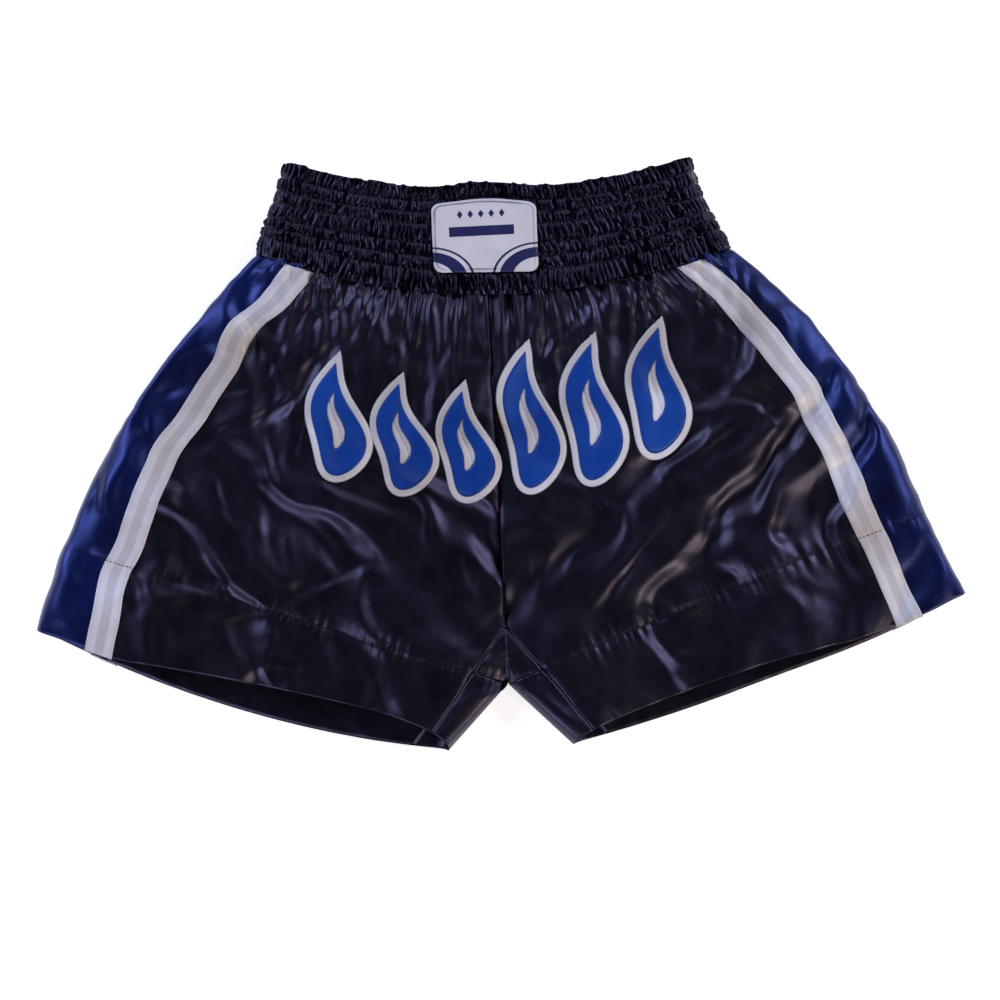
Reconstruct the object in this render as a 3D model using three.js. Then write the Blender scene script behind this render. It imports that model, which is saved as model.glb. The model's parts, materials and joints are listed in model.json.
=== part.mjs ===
// Muay Thai boxing shorts, laid flat on their back with both legs spread, in millimetres.
// +X is the wearer's left, +Y runs from the hems up to the waist, and +Z is up from the floor.
// The origin is on the floor, at the centre of the outline. Each piece of cloth is its own closed slab.

import * as THREE from 'three';

const { lerp, degToRad, smoothstep } = THREE.MathUtils;

// Waistband. Heights are measured up from the middle of the waist seam.
const SEAM_WIDTH = 341; // side fold to side fold along the waist seam
const TOP_WIDTH = 291; // the same at the free top edge
const LOWER_FRILL = 16; // loose cloth between the waist seam and the lowest elastic
const CHANNELS = [9.5, 9.5, 15.5, 11, 10]; // stitch line to stitch line, from the lowest elastic up
const TOP_FRILL = 11.5; // loose cloth above the highest elastic
const SEAM_SAG = 32; // how far the ends of the waist seam lie above its middle
const TOP_SAG = 22; // the same for the top edge
const BAND_THICKNESS = 25; // front and back of the relaxed band together
const CASING_WALL = 1.8; // gathered satin
const LINING_WALL = 1.4;
const ELASTIC_THICKNESS = 1.2;
const ELASTIC_PLAY = 1; // between each edge of an elastic and its stitch line
const LABEL_WIDTH = 74;
const LABEL_HEIGHT = 53;
const LABEL_CORNER = 5;
const LABEL_THICKNESS = 0.8;
const LABEL_LIFT = 43; // label centre above the waist seam
const LABEL_OFFSET = -3; // and from the centre line, towards the wearer's right

// Body and legs. Heights are measured down from the middle of the waist seam.
const HEM_SPREAD = 674; // outer hem corner to outer hem corner
const OUTSEAM_DROP = 224; // waist seam to outer hem corner
const SIDE_BULGE = new THREE.Vector2(282, -65); // control point of the curved side fold
const FRONT_RISE = 238; // waist seam to the tip of the gusset
const GUSSET_DEPTH = 41; // tip of the gusset to the crotch fold
const INSEAM_DROP = 46; // crotch fold to the inner hem corner
const INSEAM_SPREAD = 45; // centre line to the inner hem corner
const FRONT_GUSSET_SEAM = new THREE.Vector2(49, -301); // where that seam meets the front hem
const BACK_GUSSET_SEAM = new THREE.Vector2(70, -316); // and the back hem
const FRONT_HEM_BOW = 5;
const BACK_HEM_BOW = 8;
const HEM_ANGLE = 20; // degrees, the top of the doubled hem rises this much from the crotch to the side

// Cloth, tape and appliques.
const CLOTH_THICKNESS = 2; // satin with its small folds
const FRONT_TOP = 24; // outer face of the front layer above the floor
const TAPE_WIDTH = 20;
const TAPE_THICKNESS = 0.8;
const TAPE_FROM_SIDE_TOP = 32; // tape centre to side fold, at the waist seam
const TAPE_FROM_SIDE_HEM = 48; // the same at the hem
const SIDE_FOLD_DEPTH = 26; // length over which the side fold rounds off
const INSEAM_FOLD_DEPTH = 14;
const APPLIQUE_THICKNESS = 0.8;
const APPLIQUE_BORDER = 4.5; // backing that shows round each face
const CLEAR = 0.3; // gap between neighbouring pieces

// One flame per row, from the wearer's right: its centre from the waist seam, its size and its spine's sway.
const FLAMES = [
  { x: -115, y: -85, width: 35, height: 78, sway: 5 },
  { x: -68, y: -99, width: 33, height: 75, sway: 6 },
  { x: -22, y: -106, width: 32, height: 75, sway: 5 },
  { x: 24, y: -90, width: 33, height: 99, sway: 6 },
  { x: 69, y: -86, width: 34, height: 100, sway: 6 },
  { x: 115, y: -72, width: 35, height: 94, sway: 5 },
];

const BAND_HEIGHT = CHANNELS.reduce((sum, height) => sum + height, LOWER_FRILL + TOP_FRILL);
const BACK_BOTTOM = CLEAR + TAPE_THICKNESS; // the back tapes lie between the back layer and the floor
const CROTCH = new THREE.Vector2(0, -FRONT_RISE - GUSSET_DEPTH);
const GUSSET_TIP = new THREE.Vector2(0, -FRONT_RISE);
const INNER_HEM = new THREE.Vector2(INSEAM_SPREAD, CROTCH.y - INSEAM_DROP);
const BAND_TOP = BAND_HEIGHT + TOP_SAG; // highest point of the outline
const OUTLINE_SHIFT = -(BAND_TOP + INNER_HEM.y) / 2; // brings the origin to the middle of the outline

const cloth = (color, roughness) => new THREE.MeshStandardMaterial({ color, roughness, metalness: 0 });
const MATERIALS = {
  blackSatin: cloth(0x0b0b16, 0.3),
  blueSatin: cloth(0x14207a, 0.3),
  whiteSatin: cloth(0xd8dbe6, 0.4),
  royalSatin: cloth(0x0f3da8, 0.35),
  elastic: cloth(0xd9d6cd, 0.8),
  label: cloth(0xc9cdd8, 0.45),
};

// ---------------------------------------------------------------- the laid-out outline, right-hand half

const seamEnd = new THREE.Vector2(SEAM_WIDTH / 2, SEAM_SAG);
const outerHem = new THREE.Vector2(HEM_SPREAD / 2, -OUTSEAM_DROP);
const sideFold = new THREE.QuadraticBezierCurve(seamEnd, SIDE_BULGE, outerHem);

// The doubled hem starts at a straight line from the crotch to the side, along which the leg folds up.
const foldLine = (x) => CROTCH.y + x * Math.tan(degToRad(HEM_ANGLE));

// The fraction along a curve at which it crosses the fold line.
function foldCrossing(curve) {
  let above = 0;
  let below = 1;
  for (let step = 0; step < 50; step += 1) {
    const middle = (above + below) / 2;
    const point = curve.getPoint(middle);
    if (point.y > foldLine(point.x)) above = middle;
    else below = middle;
  }
  return above;
}

// A run of points from the waist down, cut at the fold line into an upper part and a hem part.
function cutAtFold(curve) {
  const cut = foldCrossing(curve);
  return {
    upper: (t) => curve.getPoint(cut * t),
    hem: (t) => curve.getPoint(lerp(cut, 1, t)),
  };
}

const side = cutAtFold(sideFold);
const frontSeam = cutAtFold(new THREE.LineCurve(GUSSET_TIP, FRONT_GUSSET_SEAM));
const backSeam = cutAtFold(new THREE.LineCurve(GUSSET_TIP, BACK_GUSSET_SEAM));

// The inner edge of a front or back layer: down the centre line, then along the gusset seam.
function innerEdge(seam) {
  const tipShare = FRONT_RISE / (FRONT_RISE + GUSSET_TIP.distanceTo(seam.upper(1)));
  return (t) => (t < tipShare
    ? new THREE.Vector2(0, -FRONT_RISE * (t / tipShare))
    : seam.upper((t - tipShare) / (1 - tipShare)));
}

const chordBow = (q) => 4 * q * (1 - q); // 0 at both ends of a line, 1 in its middle

// Each patch is a folded tube of cloth: lines run from its fold to its front and back inner edges.
const UPPER = {
  fold: side.upper,
  front: innerEdge(frontSeam),
  back: innerEdge(backSeam),
  foldDepth: SIDE_FOLD_DEPTH,
  bow: (q, t) => (-SEAM_SAG / 4) * chordBow(q) * (1 - t) ** 2,
};
const HEM = {
  fold: side.hem,
  front: frontSeam.hem,
  back: backSeam.hem,
  foldDepth: SIDE_FOLD_DEPTH,
  bow: (q, t, frontShare) => -lerp(BACK_HEM_BOW, FRONT_HEM_BOW, frontShare) * chordBow(q) * t,
};
const INSEAM = {
  fold: (t) => CROTCH.clone().lerp(INNER_HEM, t),
  front: frontSeam.hem,
  back: backSeam.hem,
  foldDepth: INSEAM_FOLD_DEPTH,
  bow: () => 0,
};

// Straight distance from the fold to the inner edge of one layer.
const frontWidth = (patch) => (t) => patch.fold(t).distanceTo(patch.front(t));
const backWidth = (patch) => (t) => patch.fold(t).distanceTo(patch.back(t));

// The outer face of a folded tube in section, at a distance round the fold: in front if above 0, else behind.
function foldSection(round, depth) {
  const middle = (FRONT_TOP + BACK_BOTTOM) / 2;
  const rise = FRONT_TOP - middle;
  if (Math.abs(round) >= depth) return new THREE.Vector2(Math.abs(round), middle + Math.sign(round) * rise);
  const angle = (round / depth) * (Math.PI / 2);
  return new THREE.Vector2(depth * (1 - Math.cos(angle)), middle + rise * Math.sin(angle));
}

// A point of a patch, t of the way down it, at a distance round its fold, inset from the outer face.
function pointOn(patch, t, round, inset) {
  const step = 0.05;
  const depth = patch.foldDepth;
  const face = foldSection(round, depth);
  const tangent = foldSection(round + step, depth).sub(foldSection(round - step, depth));
  const outward = new THREE.Vector2(-tangent.y, tangent.x).normalize();
  face.addScaledVector(outward, -inset);
  const frontShare = smoothstep(round, -depth, depth);
  const fold = patch.fold(t);
  const along = patch.back(t).lerp(patch.front(t), frontShare).sub(fold);
  const inward = face.x / along.length();
  const place = fold.addScaledVector(along, inward);
  return new THREE.Vector3(place.x, place.y + patch.bow(1 - inward, t, frontShare), face.y);
}

// A slab of cloth on a patch, between two distances round its fold, which may change down its length.
function slab(name, material, patch, from, to, options = {}) {
  const { inset = 0, thickness = CLOTH_THICKNESS, columns = 6, rows = 6, start = 0.005, end = 1 } = options;
  const geometry = new THREE.BoxGeometry(1, 1, 1, columns, rows, 1);
  const position = geometry.getAttribute('position');
  for (let i = 0; i < position.count; i += 1) {
    const t = lerp(start, end, 0.5 - position.getY(i));
    const round = lerp(from(t), to(t), position.getX(i) + 0.5);
    const point = pointOn(patch, t, round, inset + thickness * (0.5 - position.getZ(i)));
    position.setXYZ(i, point.x, point.y, point.z);
  }
  const mesh = new THREE.Mesh(geometry, material);
  mesh.name = name;
  return mesh;
}

// ---------------------------------------------------------------- panels, tapes and gusset of one side

// How far down the whole side seam a point of a patch is, as the tape runs.
const upperShare = foldCrossing(sideFold);
const sideShare = (patch, t) => (patch === UPPER ? upperShare * t : lerp(upperShare, 1, t));
const tapeCentre = (patch) => (t) => lerp(TAPE_FROM_SIDE_TOP, TAPE_FROM_SIDE_HEM, sideShare(patch, t));

function sidePieces(label, part, patch) {
  const tape = tapeCentre(patch);
  const tapeEdge = (sign, edge) => (t) => sign * tape(t) + edge * (TAPE_WIDTH / 2);
  const beside = (sign, gap) => (t) => sign * tape(t) + gap;
  const tapeOptions = { inset: -CLEAR - TAPE_THICKNESS, thickness: TAPE_THICKNESS, columns: 3 };
  const name = (piece) => `${piece}_${label}_${part}`;
  return [
    slab(name('front_panel'), MATERIALS.blackSatin, patch,
      (t) => frontWidth(patch)(t) - CLEAR, beside(1, CLEAR / 2)),
    slab(name('side_panel'), MATERIALS.blueSatin, patch,
      beside(1, -CLEAR / 2), beside(-1, CLEAR / 2), { columns: 12 }),
    slab(name('back_panel'), MATERIALS.blackSatin, patch,
      beside(-1, -CLEAR / 2), (t) => CLEAR - backWidth(patch)(t)),
    slab(name('front_tape'), MATERIALS.whiteSatin, patch,
      tapeEdge(1, 1), tapeEdge(1, -1), tapeOptions),
    slab(name('back_tape'), MATERIALS.whiteSatin, patch,
      tapeEdge(-1, 1), tapeEdge(-1, -1), tapeOptions),
  ];
}

function half(label) {
  const group = new THREE.Group();
  group.add(...sidePieces(label, 'upper', UPPER), ...sidePieces(label, 'hem', HEM));
  group.add(slab(`gusset_${label}_hem`, MATERIALS.blackSatin, INSEAM,
    (t) => CLEAR - backWidth(INSEAM)(t),
    (t) => frontWidth(INSEAM)(t) - CLEAR,
    { columns: 14, rows: 4, start: 0.01 }));
  return group;
}

// The middle of the gusset, above both fold lines: a kite of one layer, lying on a face at a height.
function gussetKite(name, seam, z) {
  const corner = seam.upper(1);
  const points = [GUSSET_TIP, new THREE.Vector2(-corner.x, corner.y), CROTCH, corner];
  const shape = new THREE.Shape(outset(points, -CLEAR));
  return plate(name, MATERIALS.blackSatin, shape, CLOTH_THICKNESS, 0, 0, z);
}

// ---------------------------------------------------------------- waistband

// A point of the flattened loop of the band, whose two straight runs take 150 degrees of the turn each.
function bandLoop(angle, radius) {
  const runEnd = degToRad(75);
  const straight = (SEAM_WIDTH - BAND_THICKNESS) / 2;
  const turn = Math.abs(angle);
  const endTurn = THREE.MathUtils.clamp((turn - runEnd) / (Math.PI - 2 * runEnd), 0, 1) * Math.PI;
  const along = Math.min(turn, Math.PI - turn, runEnd) / runEnd;
  const x = Math.sign(angle) * (straight * along + radius * Math.sin(endTurn));
  return new THREE.Vector2(x, radius * Math.cos(endTurn));
}

// A ring of the band between two heights, which follows its taper and the sag of its edges.
function bandRing(name, material, inset, wall, bottom, top) {
  const outer = BAND_THICKNESS / 2 - inset;
  const inner = outer - wall;
  const profile = [[outer, bottom], [outer, top], [inner, top], [inner, bottom], [outer, bottom]];
  const geometry = new THREE.LatheGeometry(profile.map(([radius, y]) => new THREE.Vector2(radius, y)), 48);
  const position = geometry.getAttribute('position');
  for (let i = 0; i < position.count; i += 1) {
    const angle = Math.atan2(position.getX(i), position.getZ(i));
    const radius = Math.hypot(position.getX(i), position.getZ(i));
    const loop = bandLoop(angle, radius);
    const height = position.getY(i);
    const share = height / BAND_HEIGHT;
    const across = loop.x / (SEAM_WIDTH / 2);
    const x = across * lerp(SEAM_WIDTH, TOP_WIDTH, share) / 2;
    const y = height + lerp(SEAM_SAG, TOP_SAG, share) * across ** 2;
    position.setXYZ(i, x, y, loop.y + BAND_THICKNESS / 2);
  }
  const mesh = new THREE.Mesh(geometry, material);
  mesh.name = name;
  return mesh;
}

function roundedRectangle(width, height, corner) {
  const [x, y] = [width / 2, height / 2];
  const shape = new THREE.Shape();
  shape.absarc(x - corner, y - corner, corner, 0, Math.PI / 2);
  shape.absarc(corner - x, y - corner, corner, Math.PI / 2, Math.PI);
  shape.absarc(corner - x, corner - y, corner, Math.PI, 1.5 * Math.PI);
  shape.absarc(x - corner, corner - y, corner, 1.5 * Math.PI, 2 * Math.PI);
  return shape;
}

// A flat plate of cloth, lying on a face at a height above the floor.
function plate(name, material, shape, thickness, x, y, z) {
  const options = { depth: thickness, bevelEnabled: false, curveSegments: 4 };
  const geometry = new THREE.ExtrudeGeometry(shape, options);
  const mesh = new THREE.Mesh(geometry, material);
  mesh.name = name;
  mesh.position.set(x, y, z);
  return mesh;
}

function waistband() {
  const group = new THREE.Group();
  const elasticInset = CASING_WALL + CLEAR;
  const liningInset = elasticInset + ELASTIC_THICKNESS + CLEAR;
  group.add(bandRing('waistband_casing', MATERIALS.blackSatin,
    0, CASING_WALL, CLEAR, BAND_HEIGHT));
  group.add(bandRing('waistband_lining', MATERIALS.blackSatin,
    liningInset, LINING_WALL, CLEAR, BAND_HEIGHT));
  let bottom = LOWER_FRILL;
  CHANNELS.forEach((height, row) => {
    group.add(bandRing(`elastic_${row + 1}`, MATERIALS.elastic,
      elasticInset, ELASTIC_THICKNESS, bottom + ELASTIC_PLAY, bottom + height - ELASTIC_PLAY));
    bottom += height;
  });
  group.add(plate('label', MATERIALS.label, roundedRectangle(LABEL_WIDTH, LABEL_HEIGHT, LABEL_CORNER),
    LABEL_THICKNESS, LABEL_OFFSET, LABEL_LIFT, BAND_THICKNESS + CLEAR));
  return group;
}

// ---------------------------------------------------------------- flame appliques on the front

// A leaf-shaped flame, round at its foot and pointed at its tip, whose spine sways from side to side.
function flameOutline(width, height, sway) {
  const belly = 0.34; // share of the height at which it is widest
  const steps = 12;
  const edge = (v, sign) => {
    const swell = v < belly
      ? Math.sqrt(1 - (1 - v / belly) ** 2)
      : Math.cos(((v - belly) / (1 - belly)) * (Math.PI / 2));
    const spine = sway * Math.sin(2 * Math.PI * v);
    return new THREE.Vector2(spine + sign * (width / 2) * swell, height * (v - 0.5));
  };
  const right = Array.from({ length: steps }, (_, i) => edge(1 - Math.cos((i / steps) * (Math.PI / 2)), 1));
  const left = right.map((_, i) => edge(1 - Math.cos(((steps - i) / steps) * (Math.PI / 2)), -1));
  return [...right, ...left];
}

// The same outline moved outward by a border, with pointed corners kept short.
function outset(points, border) {
  return points.map((point, i) => {
    const before = points[(i + points.length - 1) % points.length];
    const after = points[(i + 1) % points.length];
    const first = point.clone().sub(before).normalize();
    const second = after.clone().sub(point).normalize();
    const normal = new THREE.Vector2(first.y + second.y, -first.x - second.x).normalize();
    const reach = Math.min(1 / Math.max(normal.dot(new THREE.Vector2(first.y, -first.x)), 0.01), 2);
    return point.clone().addScaledVector(normal, border * reach);
  });
}

function flames() {
  const group = new THREE.Group();
  const slotShare = 0.26; // width of the slot in a face, as a share of the face's width
  const slotHeight = 0.5; // and its height, as a share of the face's height
  FLAMES.forEach(({ x, y, width, height, sway }, i) => {
    const outline = flameOutline(width, height, sway);
    const face = new THREE.Shape(outline);
    const slot = flameOutline(width * slotShare, height * slotHeight, sway * slotHeight);
    face.holes.push(new THREE.Path(slot));
    const backing = new THREE.Shape(outset(outline, APPLIQUE_BORDER));
    const faceLift = FRONT_TOP + 2 * CLEAR + APPLIQUE_THICKNESS;
    group.add(plate(`flame_backing_${i + 1}`, MATERIALS.whiteSatin, backing,
      APPLIQUE_THICKNESS, x, y, FRONT_TOP + CLEAR));
    group.add(plate(`flame_face_${i + 1}`, MATERIALS.royalSatin, face,
      APPLIQUE_THICKNESS, x, y, faceLift));
  });
  return group;
}

// ---------------------------------------------------------------- assembly

const shorts = new THREE.Group();
const rightHalf = half('right'); // the wearer's right is the mirror image of the left
rightHalf.scale.x = -1;
shorts.add(half('left'), rightHalf, waistband(), flames());
shorts.add(gussetKite('gusset_front', frontSeam, FRONT_TOP - CLOTH_THICKNESS));
shorts.add(gussetKite('gusset_back', backSeam, BACK_BOTTOM));
shorts.position.y = OUTLINE_SHIFT;

const model = new THREE.Group();
model.add(shorts);

export default model;
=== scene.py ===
# %% [markdown]
# # Satin boxing shorts
#
# The shorts lie flat on their back with both legs spread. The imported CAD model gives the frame:
# every position below comes from its boxes and its joints, in metres, with +X to the wearer's
# left, +Y up to the waist and +Z up from the floor. Blender adds what the CAD leaves out:
# gathers, folds, stitches and satin.

import json
import math

import bpy
import numpy as np
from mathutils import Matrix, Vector
from mathutils.bvhtree import BVHTree

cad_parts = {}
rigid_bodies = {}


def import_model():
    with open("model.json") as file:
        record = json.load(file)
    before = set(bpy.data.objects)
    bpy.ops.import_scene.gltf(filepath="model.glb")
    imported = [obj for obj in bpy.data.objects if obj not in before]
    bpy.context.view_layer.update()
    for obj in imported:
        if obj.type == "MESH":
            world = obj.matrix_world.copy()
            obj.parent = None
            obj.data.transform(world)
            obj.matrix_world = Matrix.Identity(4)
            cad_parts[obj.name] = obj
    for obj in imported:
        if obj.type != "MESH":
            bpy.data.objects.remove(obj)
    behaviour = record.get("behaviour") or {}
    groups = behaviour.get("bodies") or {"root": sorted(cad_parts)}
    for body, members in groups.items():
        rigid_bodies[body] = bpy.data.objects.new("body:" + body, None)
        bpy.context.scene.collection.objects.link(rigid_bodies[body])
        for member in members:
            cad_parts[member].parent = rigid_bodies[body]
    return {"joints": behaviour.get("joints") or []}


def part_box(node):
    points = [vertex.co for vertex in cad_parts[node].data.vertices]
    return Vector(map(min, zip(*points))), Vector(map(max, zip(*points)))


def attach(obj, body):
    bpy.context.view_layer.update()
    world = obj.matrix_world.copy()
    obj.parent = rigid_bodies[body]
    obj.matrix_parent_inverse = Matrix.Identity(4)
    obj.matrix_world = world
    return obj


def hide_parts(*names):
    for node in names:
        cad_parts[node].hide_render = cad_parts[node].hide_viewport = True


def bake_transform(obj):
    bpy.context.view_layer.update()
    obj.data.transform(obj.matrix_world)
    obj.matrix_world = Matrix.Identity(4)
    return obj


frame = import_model()
given = set(bpy.context.scene.objects)
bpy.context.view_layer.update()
MM = 0.001

# %% [markdown]
# The outline of one half is drawn by four curves. The waist seam sags to the middle, the side
# fold bulges outwards, the centre line drops to the crotch, and the inseam fold runs on from
# there to the hem. The top of the doubled hem is a straight line from the crotch to the side, and
# it is also where the leg folds up, so the joint gives both its place and its direction.

# %% Driving sizes
band_low, band_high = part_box("waistband_casing")
joints = {joint["name"]: joint for joint in frame["joints"]}
left_hem_fold = joints["left_hem_fold"]
CROTCH = np.array(left_hem_fold["pos_m"][:2])
HEM_LINE = -np.array(left_hem_fold["axis"][:2])  # from the crotch along the top of the left hem
SEAM_Y = band_low[1]  # middle of the waist seam
SEAM_SAG = 32 * MM  # how far the middle of the waist seam hangs below its ends
SEAM_END = np.array([band_high[0], SEAM_Y + SEAM_SAG])
SIDE_BULGE = np.array([282 * MM, SEAM_Y - 65 * MM])  # control point of the side fold
OUTER_HEM = np.array([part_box("side_panel_left_hem")[1][0], SEAM_Y - 224 * MM])
INNER_HEM = CROTCH + np.array([45, -46]) * MM
GUSSET_TIP = CROTCH + np.array([0, 41]) * MM
FRONT_GUSSET_FOOT = np.array([49 * MM, SEAM_Y - 301 * MM])
BACK_GUSSET_FOOT = np.array([70 * MM, SEAM_Y - 316 * MM])
FRONT_HEM_BOW = 5 * MM
BACK_HEM_BOW = 10 * MM
HEM_SHARE = 0.8  # share of the way down at which the doubled hem starts
MIDDLE_Z = 12.5 * MM  # height of the side and inseam folds
FRONT_Z = 22.5 * MM  # lie of the front layer
BACK_Z = 1.6 * MM  # lie of the back layer
SIDE_FOLD = 26 * MM  # how far in the side fold rounds off
INSEAM_FOLD = 14 * MM
print("crotch", CROTCH, "hem line", HEM_LINE.round(4))

# %% [markdown]
# A layer is a sheet with two coordinates: u runs from the centre line or inseam out to the side
# fold, and v from the waist seam down to the hem. One function turns them into a place on the
# floor, so that every panel, tape and stitch can be laid out in the same way as a cutter would
# chalk it.


# %% The laid-out outline
def side_point(t):
    t = np.asarray(t)[..., None]
    return (1 - t) ** 2 * SEAM_END + 2 * t * (1 - t) * SIDE_BULGE + t**2 * OUTER_HEM


def hem_crossing():
    """The share of the side fold above the top of the doubled hem."""
    low, high = 0.0, 1.0
    for _ in range(40):
        t = (low + high) / 2
        point = side_point(t) - CROTCH
        above = HEM_LINE[0] * point[1] - HEM_LINE[1] * point[0]
        low, high = (t, high) if above > 0 else (low, t)
    return low


SIDE_SHARE = hem_crossing()


def side_fold(v):
    v = np.asarray(v, float)
    upper = SIDE_SHARE * v / HEM_SHARE
    hem = SIDE_SHARE + (1 - SIDE_SHARE) * (v - HEM_SHARE) / (1 - HEM_SHARE)
    return side_point(np.where(v < HEM_SHARE, upper, hem))


def inner_line(v):
    v = np.asarray(v, float)[..., None]
    seam = np.array([0, SEAM_Y])
    upper = seam + (CROTCH - seam) * v / HEM_SHARE
    hem = CROTCH + (INNER_HEM - CROTCH) * (v - HEM_SHARE) / (1 - HEM_SHARE)
    return np.where(v < HEM_SHARE, upper, hem)


def laid_out(u, v, hem_bow):
    """Where a point of the left half lies on the floor."""
    u, v = np.asarray(u, float), np.asarray(v, float)
    place = inner_line(v) + u[..., None] * (side_fold(v) - inner_line(v))
    bow = 4 * u * (1 - u)
    top = np.clip(1 - v / HEM_SHARE, 0, 1) ** 2
    hem = np.clip((v - HEM_SHARE) / (1 - HEM_SHARE), 0, 1.2)
    place[..., 1] -= bow * ((SEAM_END[1] - SEAM_Y) / 4 * top + hem_bow * hem)
    return place


def row_width(v):
    """Straight distance from the inner line to the side fold."""
    return np.linalg.norm(side_fold(v) - inner_line(v), axis=-1)


def gusset_seam(v, foot):
    """The u at which the seam from the gusset's tip to its foot crosses a row."""
    start, along = inner_line(v), side_fold(v) - inner_line(v)
    seam = foot - GUSSET_TIP
    offset = GUSSET_TIP - start
    cross = along[..., 0] * seam[1] - along[..., 1] * seam[0]
    u = (offset[..., 0] * seam[1] - offset[..., 1] * seam[0]) / cross
    return np.clip(u, 0, 1)


TIP_SHARE = HEM_SHARE * (SEAM_Y - GUSSET_TIP[1]) / (SEAM_Y - CROTCH[1])
print("hem line crosses the side fold at", round(SIDE_SHARE, 3))
print("gusset tip at v", round(TIP_SHARE, 3))

# %% [markdown]
# Random details must come out the same on every run, so each one draws from its own seeded
# generator. A smooth random line, or value noise, is a row of random heights joined by an easing
# curve.


# %% Smooth noise
def smoothstep(value):
    value = np.clip(value, 0, 1)
    return value * value * (3 - 2 * value)


def noise_line(x, seed):
    """Random heights from -1 to 1 at the whole numbers, joined smoothly."""
    heights = np.random.default_rng(seed).uniform(-1, 1, 1024)
    x = np.asarray(x, float)
    cell = np.floor(x).astype(int)
    ease = smoothstep(x - cell)
    return heights[cell % 1024] * (1 - ease) + heights[(cell + 1) % 1024] * ease


def noise_plane(x, y, seed):
    """The same over a plane."""
    heights = np.random.default_rng(seed).uniform(-1, 1, (256, 256))
    cx, cy = np.floor(x).astype(int), np.floor(y).astype(int)
    ex, ey = smoothstep(x - cx), smoothstep(y - cy)
    row = [heights[cy % 256, (cx + k) % 256] for k in (0, 1)]
    next_row = [heights[(cy + 1) % 256, (cx + k) % 256] for k in (0, 1)]
    top = row[0] * (1 - ex) + row[1] * ex
    bottom = next_row[0] * (1 - ex) + next_row[1] * ex
    return top * (1 - ey) + bottom * ey


# %% [markdown]
# The front of real shorts is a wide piece of satin drawn in at the waist, so it falls in gathers
# and soft diagonal folds. They could be sculpted by hand, but a cloth simulation finds them by
# itself: the sheet is given its uncut width as its rest shape and is pinned to the narrower waist
# seam and side folds, so it has to buckle. It falls on a smooth pillow, which stands for the air
# and the back layer under it.

# %% The pillow under the front
ROWS = 110  # about 3 mm each
COLUMNS = 84
v_lines = np.linspace(0, 1, ROWS + 1)
u_lines = np.linspace(0, 1, COLUMNS + 1)
U, V = np.meshgrid(u_lines, v_lines)


def distance_to_line(points, a, b):
    along = b - a
    share = np.clip(((points - a) @ along) / (along @ along), 0, 1)
    return np.linalg.norm(points - (a + share[..., None] * along), axis=-1)


def fold_height(points, u, v, lie):
    """Height of a layer that rounds off from its lie down to the side and inseam folds."""
    side = np.clip((1 - u) * row_width(v) / SIDE_FOLD, 0, 1)
    mirrored = points * np.array([-1, 1])
    near = [distance_to_line(places, CROTCH, INNER_HEM) for places in (points, mirrored)]
    inseam = np.minimum(*near)
    share = np.minimum(side, np.clip(inseam / INSEAM_FOLD, 0, 1))
    return MIDDLE_Z + (lie - MIDDLE_Z) * np.sqrt(np.clip(1 - (1 - share) ** 2, 0, 1))


def mesh_of(name, points, faces):
    mesh = bpy.data.meshes.new(name)
    mesh.from_pydata(np.asarray(points, float).reshape(-1, 3).tolist(), [], faces)
    mesh.validate()
    piece = bpy.data.objects.new(name, mesh)
    bpy.context.scene.collection.objects.link(piece)
    return piece


def grid_faces(index):
    a, b, c, d = index[:-1, :-1], index[:-1, 1:], index[1:, 1:], index[1:, :-1]
    return np.stack([a, d, c, b], axis=-1).reshape(-1, 4)


# %% [markdown]
# Blender's cloth solver is at its best with pieces about a metre across, so the sheet is
# simulated ten times too large and shrunk again afterwards. Both halves share the vertices of the
# centre seam down to the crotch, and part there into the two legs.

# %% Simulated front
CLOTH_SCALE = 10
GATHER = 0.34  # spare width at the waist seam
GATHER_DEPTH = 42 * MM  # distance over which the gathers fade
SPARE_WIDTH = 0.06
SPARE_LENGTH = 0.05
SINK = 5 * MM  # how far the pillow lies below the front
FRAMES = 26


def away_from_folds(points, u, v):
    """0 on the side and inseam folds, easing to 1 further in."""
    to_inseam = distance_to_line(abs(points[..., :2]), CROTCH, INNER_HEM)
    share = np.minimum((1 - np.abs(u)) * row_width(v), to_inseam)
    return smoothstep(share / (18 * MM))


def gather_fade(points):
    """1 at the waist seam, fading out down the cloth."""
    below_seam = SEAM_Y + (points[..., 0] / SEAM_END[0]) ** 2 * SEAM_SAG - points[..., 1]
    return np.exp(-np.clip(below_seam, 0, 1) / GATHER_DEPTH)


def cut_shape(points):
    """The uncut width and length of the cloth that is drawn in to these laid-out points."""
    cut = points.copy()
    cut[..., 0] *= 1 + SPARE_WIDTH + GATHER * gather_fade(points)
    cut[..., 1] = SEAM_Y + (cut[..., 1] - SEAM_Y) * (1 + SPARE_LENGTH)
    cut[..., 2] = 0
    return cut


def front_layout():
    """Rest places of both halves, with the vertex numbers of each half's grid."""
    flat = laid_out(U, V, FRONT_HEM_BOW)
    height = fold_height(flat, U, V, FRONT_Z)
    left = np.dstack([flat, height])
    right = left * np.array([-1, 1, 1])
    index_left = np.arange(left.shape[0] * left.shape[1]).reshape(U.shape)
    index_right = index_left + index_left.size
    shared = v_lines <= HEM_SHARE + 1e-9
    index_right[shared, 0] = index_left[shared, 0]
    return left, right, index_left, index_right


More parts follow.
